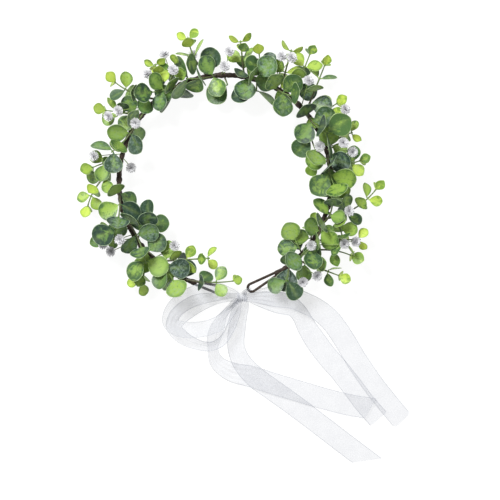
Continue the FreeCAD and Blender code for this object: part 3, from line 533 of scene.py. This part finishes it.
def leaf_outline(part, peak, point):
    """The half width of a leaf at a part of its length, 1 at its broadest. A higher point is sharper."""
    if part > peak:
        swell = max(0.0, 1 - ((part - peak) / (1 - peak)) ** 2) ** point
    else:
        swell = math.sin(part / peak * math.pi / 2) ** 0.85
    return max(swell, 0.07)


def leaf_surface(blade, part, across, cup, curl, ripple, phase):
    """A point of the leaf's middle surface, cupped across, curled along and gently waved at its margin."""
    outline = leaf_outline(part, blade.peak, blade.point)
    half = outline * blade.half_width * LEAF_BREADTH
    x = blade.length * (0.01 + 0.99 * part)
    reach = abs(across)
    lift = cup * reach ** 1.7 * outline - curl * part ** 2 - RIB_GROOVE * (1 - min(reach * 6, 1))
    wave = ripple * reach ** 3 * math.sin(phase + part * 9 + (2 if across > 0 else 0))
    return Vector((x, half * across, lift + wave))


def vein_strength(part, across, veins, upper):
    """How much a vein shows: the midrib on both faces, and the side veins on the upper one alone."""
    rib = math.exp(-(across / 0.07) ** 2) * (1 - 0.6 * part)
    if not upper:
        return rib
    slant = math.sin((part * veins - abs(across) * 1.1) * 2 * math.pi)
    return max(rib, max(0.0, slant) ** 6 * 0.4 * (1 - abs(across)))


def add_leaf(shape, blade, rng, tone):
    """A cupped leaf with a thick rim, veins, and a stalk that runs back into its stem."""
    size = blade.length / (20 * MM)
    blade.peak, blade.point = rng.uniform(0.50, 0.62), rng.uniform(0.48, 0.60) + 0.45 * tone * rng.random()
    cup, curl = rng.uniform(0.8, 2.9) * size * MM, rng.uniform(-0.5, 1.4) * size * MM
    ripple, phase = rng.uniform(0.05, 0.22) * size * MM, rng.uniform(0, 6.28)
    bloom, patch = (0.08 + 0.75 * rng.random() ** 2) * (1 - 0.75 * tone), rng.random()
    veins = 4 + round(2 * size)
    sheets = []
    for side in (1, -1):
        rows = []
        for row in range(LEAF_ROWS + 1):
            part = (1 - math.cos(math.pi * row / LEAF_ROWS)) / 2
            columns = []
            for column in range(LEAF_COLUMNS + 1):
                across = math.sin(math.pi * (column / LEAF_COLUMNS - 0.5))
                place = leaf_surface(blade, part, across, cup, curl, ripple, phase)
                bulge = (1 - abs(across) ** 4) * min(1.0, 6 * (1 - part))
                place.z += side * LEAF_THICKNESS / 2 * (0.55 + 0.45 * bulge)
                rim = max(abs(across), (part - 0.5) * 2) if part > 0.08 else 0.0
                columns.append(shape.add_point(
                    blade.matrix @ place, tone=tone, rim=rim, patch=patch,
                    vein=vein_strength(part, across, veins, side > 0),
                    bloom=bloom if side > 0 else min(1.0, bloom + 0.35)))
            rows.append(columns)
        shape.add_grid(rows, flip=side < 0)
        sheets.append(rows)
    top, under = sheets
    for column in (0, LEAF_COLUMNS):
        edge = [[rows[row][column] for row in range(LEAF_ROWS + 1)] for rows in (top, under)]
        shape.add_grid(edge, flip=column > 0)
    for row in (0, LEAF_ROWS):
        shape.add_grid([top[row], under[row]], flip=row == 0)
    add_stalk(shape, blade, tone)


def add_stalk(shape, blade, tone):
    """The leaf's stalk, from inside its stem to under the start of its midrib."""
    stem_place, stem_along = stem_near(blade.base, blade.body)
    inner = blade.matrix @ Vector((blade.length * 0.16, 0, -0.15 * MM))
    middle = (stem_place + blade.base) / 2 + stem_along * 0.25 * MM
    line = curve_through([stem_place, middle, blade.base, inner], 3)
    green = {"tone": lambda part, angle: 0.35 + 0.5 * tone, "bloom": lambda part, angle: 0.1}
    add_tube(shape, line, lambda part, angle: (0.62 - 0.34 * part) * MM, 6, **green)


def make_leaves():
    """One piece for each CAD node of leaves, with small ones paler and large ones darker."""
    rng = random.Random(SEED)
    for node in nodes_named("leaves"):
        shape = Shape()
        for points, faces in solids(node):
            blade = Blade(points, faces)
            blade.body = BODY_OF[node]
            small = clamped((PLAIN_LENGTH - blade.length) / (PLAIN_LENGTH - LIME_LENGTH))
            low = clamped((HIGH_LEAF - blade.base.z) / (HIGH_LEAF - LOW_LEAF))
            tone = clamped(0.04 + 0.8 * small + 0.2 * low * (1 - small) + rng.uniform(-0.16, 0.42))
            add_leaf(shape, blade, rng, tone)
            LEAF_BASES.append(blade.base)
        piece = shape.make(f"foliage_{node}", LEAF, BODY_OF[node])
        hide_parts(node)


LEAF_BASES = []
make_leaves()


# ---------------------------------------------------------------- stems, fixed and bending
def partner(stem):
    """The fixed stem that a bending tip's stem goes on from."""
    fixed = [other for other in STEMS if "tip" not in other.node]
    return min(fixed, key=lambda other: (other.line[-1] - stem.line[0]).length)


def make_stems():
    tips = [stem for stem in STEMS if "tip" in stem.node]
    carried = {id(partner(tip)): tip for tip in tips}
    for half in ("left", "right"):
        shape = Shape()
        for stem in STEMS:
            if stem.node == f"stems_{half}" and id(stem) not in carried:
                line = rooted(leafy_part(stem.line))
                add_stem(shape, line, leaf_parts(line, LEAF_BASES))
        piece = shape.make(f"sprig_stems_{half}", STEM, f"ring_{half}")
        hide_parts(f"stems_{half}")
    for stem in STEMS:
        if id(stem) in carried:
            tip = carried[id(stem)]
            shape = Shape()
            line = rooted(stem.line) + tip.line
            add_stem(shape, line, leaf_parts(line, LEAF_BASES))
            piece = shape.make(f"bending_{tip.node}", STEM)
            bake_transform(piece)
            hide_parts(tip.node)


def leafy_part(line):
    """The stem's line cut off just past its last leaf, where its end would be bare."""
    last = max(leaf_parts(line, LEAF_BASES, STALK_REACH), default=0.0)
    return line[:max(STUB_POINTS, round(last * (len(line) - 1)) + 2)]


def rooted(line):
    """The stem's line carried on from its root into the tape on the ring."""
    root = line[0]
    centre = ring_place(math.atan2(root.y, root.x))
    backward = (line[0] - line[2]).normalized()
    return [root.lerp(centre, 0.45) + backward * 1.2 * MM, root + backward * 0.3 * MM] + line[1:]


make_stems()


# ---------------------------------------------------------------- the taped ring and its end loops
def sleeve_places(node):
    """The middle of each tape lashing on the ring."""
    return [mean(points) for points, _ in solids(node)]


def ring_angle(point):
    return math.degrees(math.atan2(point.y, point.x))


# How far, in degrees, the tape runs on over the root of each end loop.
TAPE_OVERLAP = 1.5
# How much a lashing stands out of the ring, in millimetres, and how far it reaches each way.
LASHING_BULGE, LASHING_REACH = 0.62, 1.9 * MM
# The two wires' turns about each other: how long one is, and how deep its wave is in millimetres.
TWIST_PITCH, TWIST_DEPTH = 11 * MM, 0.17
# The same for the overlaps of the tape, and how uneven the paper is, in millimetres.
TAPE_PITCH, TAPE_STEP, TAPE_CRUMPLE = 3.1 * MM, 0.20, 0.28
# How many steps the ring's line has.
RING_STEPS = 560


def wrap_end(half, extreme):
    """The angle, in degrees, at which the tape on one half of the ring stops at the open back."""
    points = [point for found, _ in solids(f"ring_wrap_{half}") for point in found]
    return extreme(ring_angle(point) for point in points if point.y < -abs(point.x))


def make_ring():
    """The ring as one taped twist of wire, thicker at each lashing."""
    left_end = wrap_end("left", max) + TAPE_OVERLAP
    right_end = wrap_end("right", min) - TAPE_OVERLAP
    lashings = [place for half in ("left", "right") for place in sleeve_places(f"tape_bands_{half}")]
    sweep = left_end + 360 - right_end
    line = [ring_place(math.radians(right_end + sweep * i / RING_STEPS)) for i in range(RING_STEPS + 1)]
    length = (line[1] - line[0]).length * RING_STEPS

    def radius(part, angle):
        place = line[round(part * RING_STEPS)]
        nearest = min((place - lashing).length for lashing in lashings)
        bulge = LASHING_BULGE * math.exp(-(nearest / LASHING_REACH) ** 4)
        twist = TWIST_DEPTH * math.cos(2 * (angle - part * length / TWIST_PITCH * 2 * math.pi))
        wound = ((part * length / TAPE_PITCH - angle / (2 * math.pi)) % 1.0 - 0.5) * TAPE_STEP
        rough = TAPE_CRUMPLE * noise.noise(place * 260 + Vector((math.cos(angle), math.sin(angle), 0)) * 0.9)
        return (WRAP_RADIUS / MM - 0.05 + (twist + wound) * (1 - bulge) + rough + bulge) * MM

    shape = Shape()
    add_tube(shape, line, radius, 18)
    piece = shape.make("taped_ring", TAPE)
    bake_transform(piece)
    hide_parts("ring_wire_left", "ring_wire_right", "ring_wrap_left", "ring_wrap_right",
                "tape_bands_left", "tape_bands_right")
    for half in ("left", "right"):
        loop = frame["nodes"][f"end_loop_{half}"]
        loop.data.materials.clear()
        loop.data.materials.append(TAPE)


make_ring()


# ---------------------------------------------------------------- flowers
# Rows of petals from the rim of a head in: how many, their reach as a part of the head's radius, how
# far they lean up, in radians, and their width in millimetres.
PETAL_ROWS = ((20, 1.02, -0.45, 1.0), (22, 1.04, 0.0, 0.95), (19, 0.92, 0.42, 0.9), (14, 0.74, 0.82, 0.8),
              (8, 0.52, 1.2, 0.75))

# A petal's outline: parts of its length, each with a part of its width.
PETAL_OUTLINE = ((0.0, 0.35), (0.35, 0.6), (0.7, 1.0), (0.92, 0.9), (1.0, 0.45))
# The cup under the petals: parts of the head's height, each with a radius in millimetres.
CUP_OUTLINE = ((0.0, 0.32), (0.12, 0.9), (0.26, 1.3), (0.42, 1.25), (0.52, 0.2))
# Where on the head's height the petals start.
PETAL_HEIGHT = 0.42


def add_petal(shape, matrix, length, lean, width, depth):
    """One narrow petal that leaves the heart of the head and widens to a blunt tip."""
    rows = []
    for part, wide in PETAL_OUTLINE:
        rise = math.sin(lean) * part + 0.22 * part * part
        row = []
        for side in (-1, 0, 1):
            place = Vector((length * math.cos(lean) * part, width / 2 * wide * side,
                            length * rise - (0.12 * width if side == 0 else 0)))
            # depth runs from the heart of the head to the petal's tip; the petal material paints shade where
            # it is low.
            row.append(shape.add_point(matrix @ place, depth=depth + (1 - depth) * part))
        rows.append(row)
    shape.add_grid(rows)


def add_head(shape, matrix, radius, height, rng):
    """A white head of rows of fine petals round a tuft."""
    for count, reach, lean, width in PETAL_ROWS:
        offset = rng.uniform(0, 6.28)
        for index in range(count):
            turn = offset + 2 * math.pi * index / count + rng.uniform(-0.08, 0.08)
            petal = matrix @ Matrix.Translation((0, 0, height * PETAL_HEIGHT)) @ Matrix.Rotation(turn, 4, "Z")
            length = radius * reach * rng.uniform(0.9, 1.04)
            tilt = lean + rng.uniform(-0.12, 0.12)
            add_petal(shape, petal, length, tilt, width * MM, 0.15 + 0.35 * (1 - reach))
    line = [matrix @ Vector((0, 0, height * part)) for part, _ in CUP_OUTLINE]
    last = len(CUP_OUTLINE) - 1
    # The cup sits at depth 0.35, so it takes some of the painted shade.
    add_tube(shape, line, lambda part, angle: CUP_OUTLINE[round(part * last)][1] * MM, 8,
             depth=lambda part, angle: 0.35)


def flower_stem_radius(part, angle):
    return (0.46 - 0.1 * part) * MM


def make_flowers():
    rng = random.Random(SEED + 1)
    for half in ("left", "right"):
        heads, stems = Shape(), Shape()
        undersides = []
        for points, faces in solids(f"flower_heads_{half}"):
            axis = broadest_normal(faces)
            top = max(point.dot(axis) for point in points)
            bottom = min(point.dot(axis) for point in points)
            base = mean([point for point in points if point.dot(axis) < bottom + 0.1 * MM])
            side = axis.orthogonal().normalized()
            rotation = Matrix((side, axis.cross(side), axis)).transposed().to_4x4()
            radius = max((point - base - axis * (point - base).dot(axis)).length for point in points)
            add_head(heads, Matrix.Translation(base) @ rotation, radius, top - bottom, rng)
            undersides.append((base, axis))
        for points, _ in solids(f"flower_stems_{half}"):
            foot, tip = sorted(furthest_pair(points), key=ring_gap)
            base, axis = min(undersides, key=lambda under: (under[0] - tip).length)
            stray = Vector((rng.uniform(-0.4, 0.4), rng.uniform(-0.4, 0.4), -0.3)) * MM
            middle = foot.lerp(base, 0.55) + stray
            inside = ring_place(math.atan2(foot.y, foot.x))
            under, heart = base - axis * 0.6 * MM, base + axis * 0.5 * MM
            line = curve_through([foot.lerp(inside, 0.5), foot, middle, under, heart], 5)
            add_tube(stems, line, flower_stem_radius, 6, root=lambda part, angle: 1 - part)
        kinds = ((heads, "heads", "flower", PETAL), (stems, "stems", "flower_stem", FLOWER_STEM))
        for shape, kind, slot, material in kinds:
            piece = shape.make(f"blossom_{kind}_{half}", material, f"ring_{half}")
            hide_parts(f"flower_{kind}_{half}")


make_flowers()


# ---------------------------------------------------------------- ribbon
# Stations (x, y, z, across, bank, spread) in millimetres and degrees: the ribbon's middle, the
# heading and rise of its width, and its gathered width as a part of its full one.
RIBBON_WIDTH = 19.0
RIBBON_STEP = 1.4
RIBBON_COLUMNS = 26
# Each selvedge, as a part of half the ribbon's width.
SELVEDGE = 0.07
# How many pleats gathered cloth has, and the spread from which on it lies flat.
PLEATS, FLAT_SPREAD = 4, 0.995
# The least height of ribbon over the ground it lies on, in millimetres.
RIBBON_REST = 0.1
# The ribbon's cut end is shaped over this last part of its length.
END_PART = 0.2

RIBBONS = {
    "bow_loop_upper": (
        (13.0, -100.9, 14.4, 100, 0, 0.30),
        (9.6, -98.9, 16.8, 102, 0, 0.4),
        (4.4, -97.6, 20.0, 100, 4, 0.55),
        (-3.0, -96.4, 22.2, 94, 16, 0.8),
        (-18.0, -97.6, 22.6, 102, 20, 1.0),
        (-32.5, -103.0, 20.6, 120, 26, 1.0),
        (-44.2, -112.5, 17.8, 147, 38, 1.0),
        (-47.5, -123.0, 16.0, 190, 50, 1.0),
        (-41.0, -128.5, 14.6, 236, 50, 1.0),
        (-30.0, -130.0, 13.4, 266, 48, 1.0),
        (-16.0, -128.5, 12.8, 280, 44, 1.0),
        (-4.0, -123.5, 12.6, 300, 34, 0.85),
        (5.0, -113.0, 13.0, 325, 16, 0.55),
        (9.2, -105.6, 13.2, 340, 5, 0.38),
        (12.6, -102.6, 13.6, 345, 0, 0.30),
    ),
    "bow_loop_lower": (
        (13.0, -101.6, 12.4, 95, 0, 0.30),
        (8.0, -101.7, 11.4, 95, 0, 0.38),
        (-6.0, -102.5, 11.2, 98, 4, 0.5),
        (-24.0, -107.0, 8.2, 112, 8, 0.85),
        (-39.5, -117.0, 5.2, 135, 8, 0.9),
        (-45.5, -128.0, 4.4, 178, 14, 0.75),
        (-38.5, -137.0, 5.4, 225, 34, 0.7),
        (-27.0, -143.0, 6.6, 254, 48, 0.7),
        (-14.0, -145.5, 7.0, 278, 50, 0.7),
        (-3.0, -141.0, 7.4, 312, 46, 0.7),
        (4.0, -130.5, 7.8, 340, 40, 0.6),
        (8.5, -117.5, 8.4, 352, 24, 0.5),
        (10.8, -106.8, 9.2, 355, 5, 0.38),
        (13.4, -103.0, 12.0, 355, 0, 0.30),
    ),
    "ribbon_hitch": (
        (15.2, -99.8, 14.9, 119.5, 0, 0.20),
        (16.8, -97.2, 15.6, 119.5, 0, 0.18),
        (18.6, -95.9, 18.2, 119.5, 0, 0.18),
        (20.3, -94.8, 19.1, 119.5, 0, 0.18),
        (22.0, -93.8, 18.2, 119.5, 0, 0.18),
        (22.5, -93.5, 17.0, 119.5, 0, 0.18),
        (22.0, -93.8, 15.8, 119.5, 0, 0.18),
        (20.3, -94.8, 14.9, 119.5, 0, 0.18),
        (17.6, -96.9, 14.0, 119.5, 0, 0.18),
        (15.8, -99.2, 13.7, 119.5, 0, 0.20),
    ),
    "ribbon_tail_1": (
        (16.5, -101.3, 13.5, 90, 0, 0.30),
        (22.0, -101.1, 13.8, 90, 4, 0.45),
        (31.0, -100.6, 13.6, 88, 8, 0.72),
        (43.0, -100.9, 12.2, 86, 4, 0.95),
        (53.0, -101.6, 10.4, 84, 0, 1.0),
        (60.0, -102.8, 8.8, 78, -4, 1.0),
        (68.0, -106.0, 7.0, 64, -6, 1.0),
        (81.0, -112.5, 4.8, 52, -5, 1.0),
        (93.5, -123.0, 3.0, 44, 0, 1.0),
        (104.5, -138.5, 2.4, 34, 0, 1.0),
        (115.0, -156.0, 2.2, 34, 0, 1.0),
        (128.5, -176.0, 2.2, 38, 0, 1.0),
        (140.0, -191.0, 1.9, 38, 0, 1.0),
        (156.5, -211.0, 1.6, 38, 0, 1.0),
    ),
    "ribbon_tail_2": (
        (16.5, -101.7, 12.5, 90, 0, 0.30),
        (22.0, -102.1, 12.4, 90, -4, 0.45),
        (31.0, -103.6, 11.6, 88, -6, 0.72),
        (43.0, -106.0, 10.0, 86, -4, 0.95),
        (52.0, -107.6, 8.0, 84, -6, 1.0),
        (59.5, -110.5, 5.8, 70, -10, 0.9),
        (66.0, -117.5, 3.2, 42, -10, 0.85),
        (71.5, -127.5, 1.4, 30, 0, 0.9),
        (79.5, -140.0, 0.6, 32, 0, 1.0),
        (89.5, -153.5, 0.3, 40, 0, 1.0),
        (102.0, -168.0, 0.3, 42, 0, 1.0),
        (114.5, -184.0, 0.3, 40, 0, 1.0),
        (124.0, -196.5, 0.3, 38, 0, 1.0),
        (135.6, -209.8, 0.3, 36, 0, 1.0),
    ),
    "ribbon_tail_3": (
        (13.6, -103.2, 11.4, 190, 0, 0.30),
        (9.0, -107.0, 6.8, 200, 0, 0.4),
        (-3.0, -118.0, 3.0, 205, 0, 0.7),
        (-9.0, -134.0, 1.2, 190, 0, 0.75),
        (-11.0, -148.5, 0.9, 186, 0, 0.5),
        (-7.0, -160.0, 0.9, 215, 0, 0.7),
        (6.0, -168.5, 0.9, 245, 0, 0.9),
        (23.5, -172.5, 1.8, 258, 0, 1.0),
        (44.0, -179.0, 2.2, 254, 0, 1.0),
        (66.0, -185.5, 2.4, 254, 0, 1.0),
        (88.0, -192.0, 2.4, 255, 0, 1.0),
        (108.0, -197.0, 2.6, 258, 0, 1.0),
        (125.3, -199.9, 3.2, 259, 0, 1.0),
    ),
    "ribbon_tail_4": (
        (15.4, -103.4, 11.2, 175, 0, 0.30),
        (17.0, -108.0, 7.2, 175, 0, 0.4),
        (12.5, -119.0, 3.2, 182, 0, 0.7),
        (10.0, -132.0, 1.0, 182, 0, 0.8),
        (9.5, -146.0, 0.4, 190, 0, 0.8),
        (14.5, -159.5, 0.3, 212, 0, 0.9),
        (26.5, -173.0, 0.3, 230, 0, 1.0),
        (41.5, -184.0, 0.3, 234, 0, 1.0),
        (59.0, -196.5, 0.3, 234, 0, 1.0),
        (79.0, -211.5, 0.3, 233, 0, 1.0),
        (100.5, -228.0, 0.3, 232, 0, 1.0),
        (119.0, -242.0, 0.3, 228, 0, 1.0),
    ),
}


def ribbon_rows(stations):
    """Close, smooth stations along a ribbon."""
    vectors = [[float(value) for value in station] for station in stations]
    rows = []
    for index in range(len(vectors) - 1):
        before = vectors[max(index - 1, 0)]
        start, end = vectors[index], vectors[index + 1]
        after = vectors[min(index + 2, len(vectors) - 1)]
        count = max(2, round(math.dist(start[:3], end[:3]) / RIBBON_STEP))
        for step in range(count + (index == len(vectors) - 2)):
            rows.append([spline(*values, step / count) for values in zip(before, start, end, after)])
    return rows


def ribbon_columns():
    """Places across the ribbon from -1 to 1, closer together at the selvedges."""
    inner = [(-1 + 2 * step / RIBBON_COLUMNS) * (1 - SELVEDGE * 1.3) for step in range(RIBBON_COLUMNS + 1)]
    return [-1.0, -1 + SELVEDGE * 0.5, -1 + SELVEDGE] + inner + [1 - SELVEDGE, 1 - SELVEDGE * 0.5, 1.0]


def selvedge_at(across):
    """How much of a selvedge a place across the ribbon is: 1 at the edge, and 0 over the open weave."""
    return clamped((abs(across) - 1 + SELVEDGE) / (SELVEDGE * 0.5))


def pleat_offset(across, spread, phase):
    """How far gathered cloth stands off its middle plane, so that its folds hold its full width."""
    if spread >= FLAT_SPREAD:
        return 0.0
    slope = math.sqrt(2 * ((1 / spread) ** 2 - 1))
    reach = RIBBON_WIDTH * spread / 2
    wave = math.sin(math.pi * PLEATS * across + phase) + 0.35 * math.sin(math.pi * 1.7 * across + 2 * phase)
    return slope * reach / (math.pi * PLEATS) * wave


def flutter(length, across, drift):
    """Slow waves along flat ribbon, with small quick ones over them."""
    return math.sin(length / 23 + drift + across * 1.2) + 0.4 * math.sin(length / 9 - across * 2)


def ribbon_mesh(stations, wave=0.35, slant=0.0, corner=0.4, seed=0):
    """A strip of organza along stations, pleated where it is gathered. slant is how far one corner of its cut
    end runs past the other, and corner how far its corners are rounded back, both in millimetres.
    Returns the shape and its cut length."""
    rows, shape = ribbon_rows(stations), Shape()
    rng = random.Random(SEED + seed)
    phase, drift = rng.uniform(0, 6.28), rng.uniform(0, 6.28)
    columns = ribbon_columns()
    lengths = [0.0]
    for before, after in zip(rows, rows[1:]):
        lengths.append(lengths[-1] + math.dist(before[:3], after[:3]))
    grid = []
    for index, (x, y, z, across_turn, bank, spread) in enumerate(rows):
        run = Vector(rows[min(index + 1, len(rows) - 1)][:3]) - Vector(rows[max(index - 1, 0)][:3])
        run.normalize()
        heading, tilt = math.radians(across_turn), math.radians(bank)
        level = Vector((math.cos(heading), math.sin(heading), 0))
        width = level * math.cos(tilt) + UP * math.sin(tilt)
        normal = run.cross(width).normalized()
        part = lengths[index] / lengths[-1]
        fade = min(1.0, part * 8, (1 - part) * 8)
        line = []
        for across in columns:
            lift = pleat_offset(across, spread, phase + lengths[index] / 40)
            lift += wave * flutter(lengths[index], across, drift) * fade * (0.4 + 0.6 * abs(across))
            past = slant * (1 - across) / 2 - corner * clamped((abs(across) - 0.7) / 0.3) ** 2
            past *= clamped((part - 1 + END_PART) / END_PART)
            sideways = across * RIBBON_WIDTH / 2
            place = Vector((x, y, z)) + width * sideways * spread + normal * lift + run * past
            place.z = max(place.z, RIBBON_REST)
            line.append(shape.add_point(
                place * MM, across=sideways * MM, along=(lengths[index] + past) * MM,
                gather=max(0.0, 1 - spread), selvedge=selvedge_at(across)))
        grid.append(line)
    shape.add_grid(grid)
    return shape, lengths[-1] * MM


def make_ribbon_piece(name, node, body, **details):
    shape, length = ribbon_mesh(RIBBONS[node], **details)
    piece = shape.make(name, ORGANZA, body)
    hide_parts(node)
    return piece, length


def make_bow():
    for seed, part in enumerate(("upper", "lower")):
        loop, length = make_ribbon_piece(
            f"organza_loop_{part}", f"bow_loop_{part}", "bow", seed=seed, wave=0.7)
    hitch, length = make_ribbon_piece("organza_hitch", "ribbon_hitch", "ring_right", wave=0.1, seed=3)


def make_tails():
    """Two tails come off the bow, and two run through the gather and turn loose past it."""
    for number, slant in ((3, 6.8), (4, 17.0)):
        tail, length = make_ribbon_piece(
            f"organza_tail_{number}", f"ribbon_tail_{number}", "tails", slant=slant, seed=10 + number)
    for number, corner in ((1, 2.6), (2, 1.0)):
        tail, length = make_ribbon_piece(
            f"organza_tail_{number}", f"ribbon_tail_{number}", None,
            slant=1.5, corner=corner, seed=10 + number)
        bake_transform(tail)
        if number == 1:
            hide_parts("ribbon_gather")


# How often the knot's winding goes round, in how many steps, from which angle on.
KNOT_TURNS, KNOT_STEPS, KNOT_START = 1.6, 60, math.radians(60)
# How much each winding grows, and how far it moves along the knot.
KNOT_GROWTH, KNOT_SHIFT = 0.5 * MM, 0.9 * MM


def make_knot():
    """The knot: ribbon wound round the gathered strands, in a spiral that grows a little each turn."""
    low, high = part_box("bow_knot")
    centre, radius = (low + high) / 2, (high.z - low.z) / 2 - 0.3 * MM
    length = KNOT_TURNS * 2 * math.pi * radius
    shape, grid = Shape(), []
    columns = ribbon_columns()
    for step in range(KNOT_STEPS + 1):
        part = step / KNOT_STEPS
        turn = KNOT_START + 2 * math.pi * KNOT_TURNS * part
        outward = Vector((0, math.cos(turn), math.sin(turn)))
        spread = 0.40 + 0.05 * math.sin(2 * turn)
        line = []
        for across in columns:
            lift = pleat_offset(across, spread, 1.1 + 0.5 * part) * 0.75 * MM
            crown = (1 - (across * 0.75) ** 2) ** 0.5
            place = centre + outward * (radius * (0.70 + 0.30 * crown) + KNOT_GROWTH * part + lift)
            sideways = across * RIBBON_WIDTH / 2 * MM
            place.x += sideways * spread + KNOT_SHIFT * (part - 0.5)
            line.append(shape.add_point(
                place, across=sideways, along=part * length,
                gather=1 - spread, selvedge=selvedge_at(across)))
        grid.append(line)
    shape.add_grid(grid)
    piece = shape.make("knot_wrap", ORGANZA, "ring_right")
    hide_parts("bow_knot")


make_knot()
make_bow()
make_tails()


# ---------------------------------------------------------------- camera, floor and light
# How far the floor reaches each way, and how far below the crown it is.
FLOOR_REACH, FLOOR_DROP = 1.6, 0.4 * MM
SURROUND_STRENGTH = 0.38
# Each lamp's name, place, width and power in watts. Both are aimed at one place on the crown.
LAMPS = (("key", (-0.50, 0.60, 1.15), 0.40, 23.0), ("fill", (0.95, -0.5, 1.1), 0.8, 5.0))
LAMP_AIM = Vector((0.02, -0.05, 0))
LENS, SENSOR_WIDTH = 85.0, 36.0
# The middle of the picture, and how much of the crown's plane it takes in.
VIEW_X, VIEW_Y, VIEW_WIDTH = 0.0218, -0.0602, 0.4365


def make_floor():
    """A white floor just under the crown."""
    low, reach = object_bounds()[0], FLOOR_REACH
    corners = [(-reach, -reach, 0), (reach, -reach, 0), (reach, reach, 0), (-reach, reach, 0)]
    floor_mesh = bpy.data.meshes.new("floor")
    floor_mesh.from_pydata(corners, [], [(0, 1, 2, 3)])
    floor = bpy.data.objects.new("floor", floor_mesh)
    floor.location.z = low[2] - FLOOR_DROP
    bpy.context.scene.collection.objects.link(floor)
    look = Look("floor_white")
    grain = look.noise(30.0, 2.0)
    tint = look.mix(grain, colour(0.13, 0.13, 0.13), colour(0.15, 0.15, 0.15))
    white = look.finish(tint, 0.9, Emission_Color=colour(1, 1, 1), Emission_Strength=0.90)
    floor_mesh.materials.append(white)


def make_lights():
    """A soft white surround and two large soft lights."""
    world = bpy.data.worlds.new("surround")
    bpy.context.scene.world = world
    world.use_nodes = True
    background = world.node_tree.nodes["Background"]
    background.inputs["Color"].default_value = colour(1.0, 1.0, 1.0)
    background.inputs["Strength"].default_value = SURROUND_STRENGTH
    for name, place, width, power in LAMPS:
        lamp = bpy.data.lights.new(name, "AREA")
        lamp.energy, lamp.size = power, width
        light = bpy.data.objects.new(name, lamp)
        light.location = place
        light.rotation_euler = (LAMP_AIM - Vector(place)).to_track_quat("-Z", "Y").to_euler()
        bpy.context.scene.collection.objects.link(light)


def make_camera():
    """Straight down over the middle of the crown and its ribbons, +Y up in the picture."""
    camera_data = bpy.data.cameras.new("camera")
    camera_data.lens, camera_data.sensor_width = LENS, SENSOR_WIDTH
    camera = bpy.data.objects.new("camera", camera_data)
    camera.location = (VIEW_X, VIEW_Y, RING_HEIGHT + VIEW_WIDTH * LENS / SENSOR_WIDTH)
    bpy.context.scene.collection.objects.link(camera)
    bpy.context.scene.camera = camera


make_floor()
make_lights()
make_camera()
bpy.context.scene.view_settings.view_transform = "Standard"
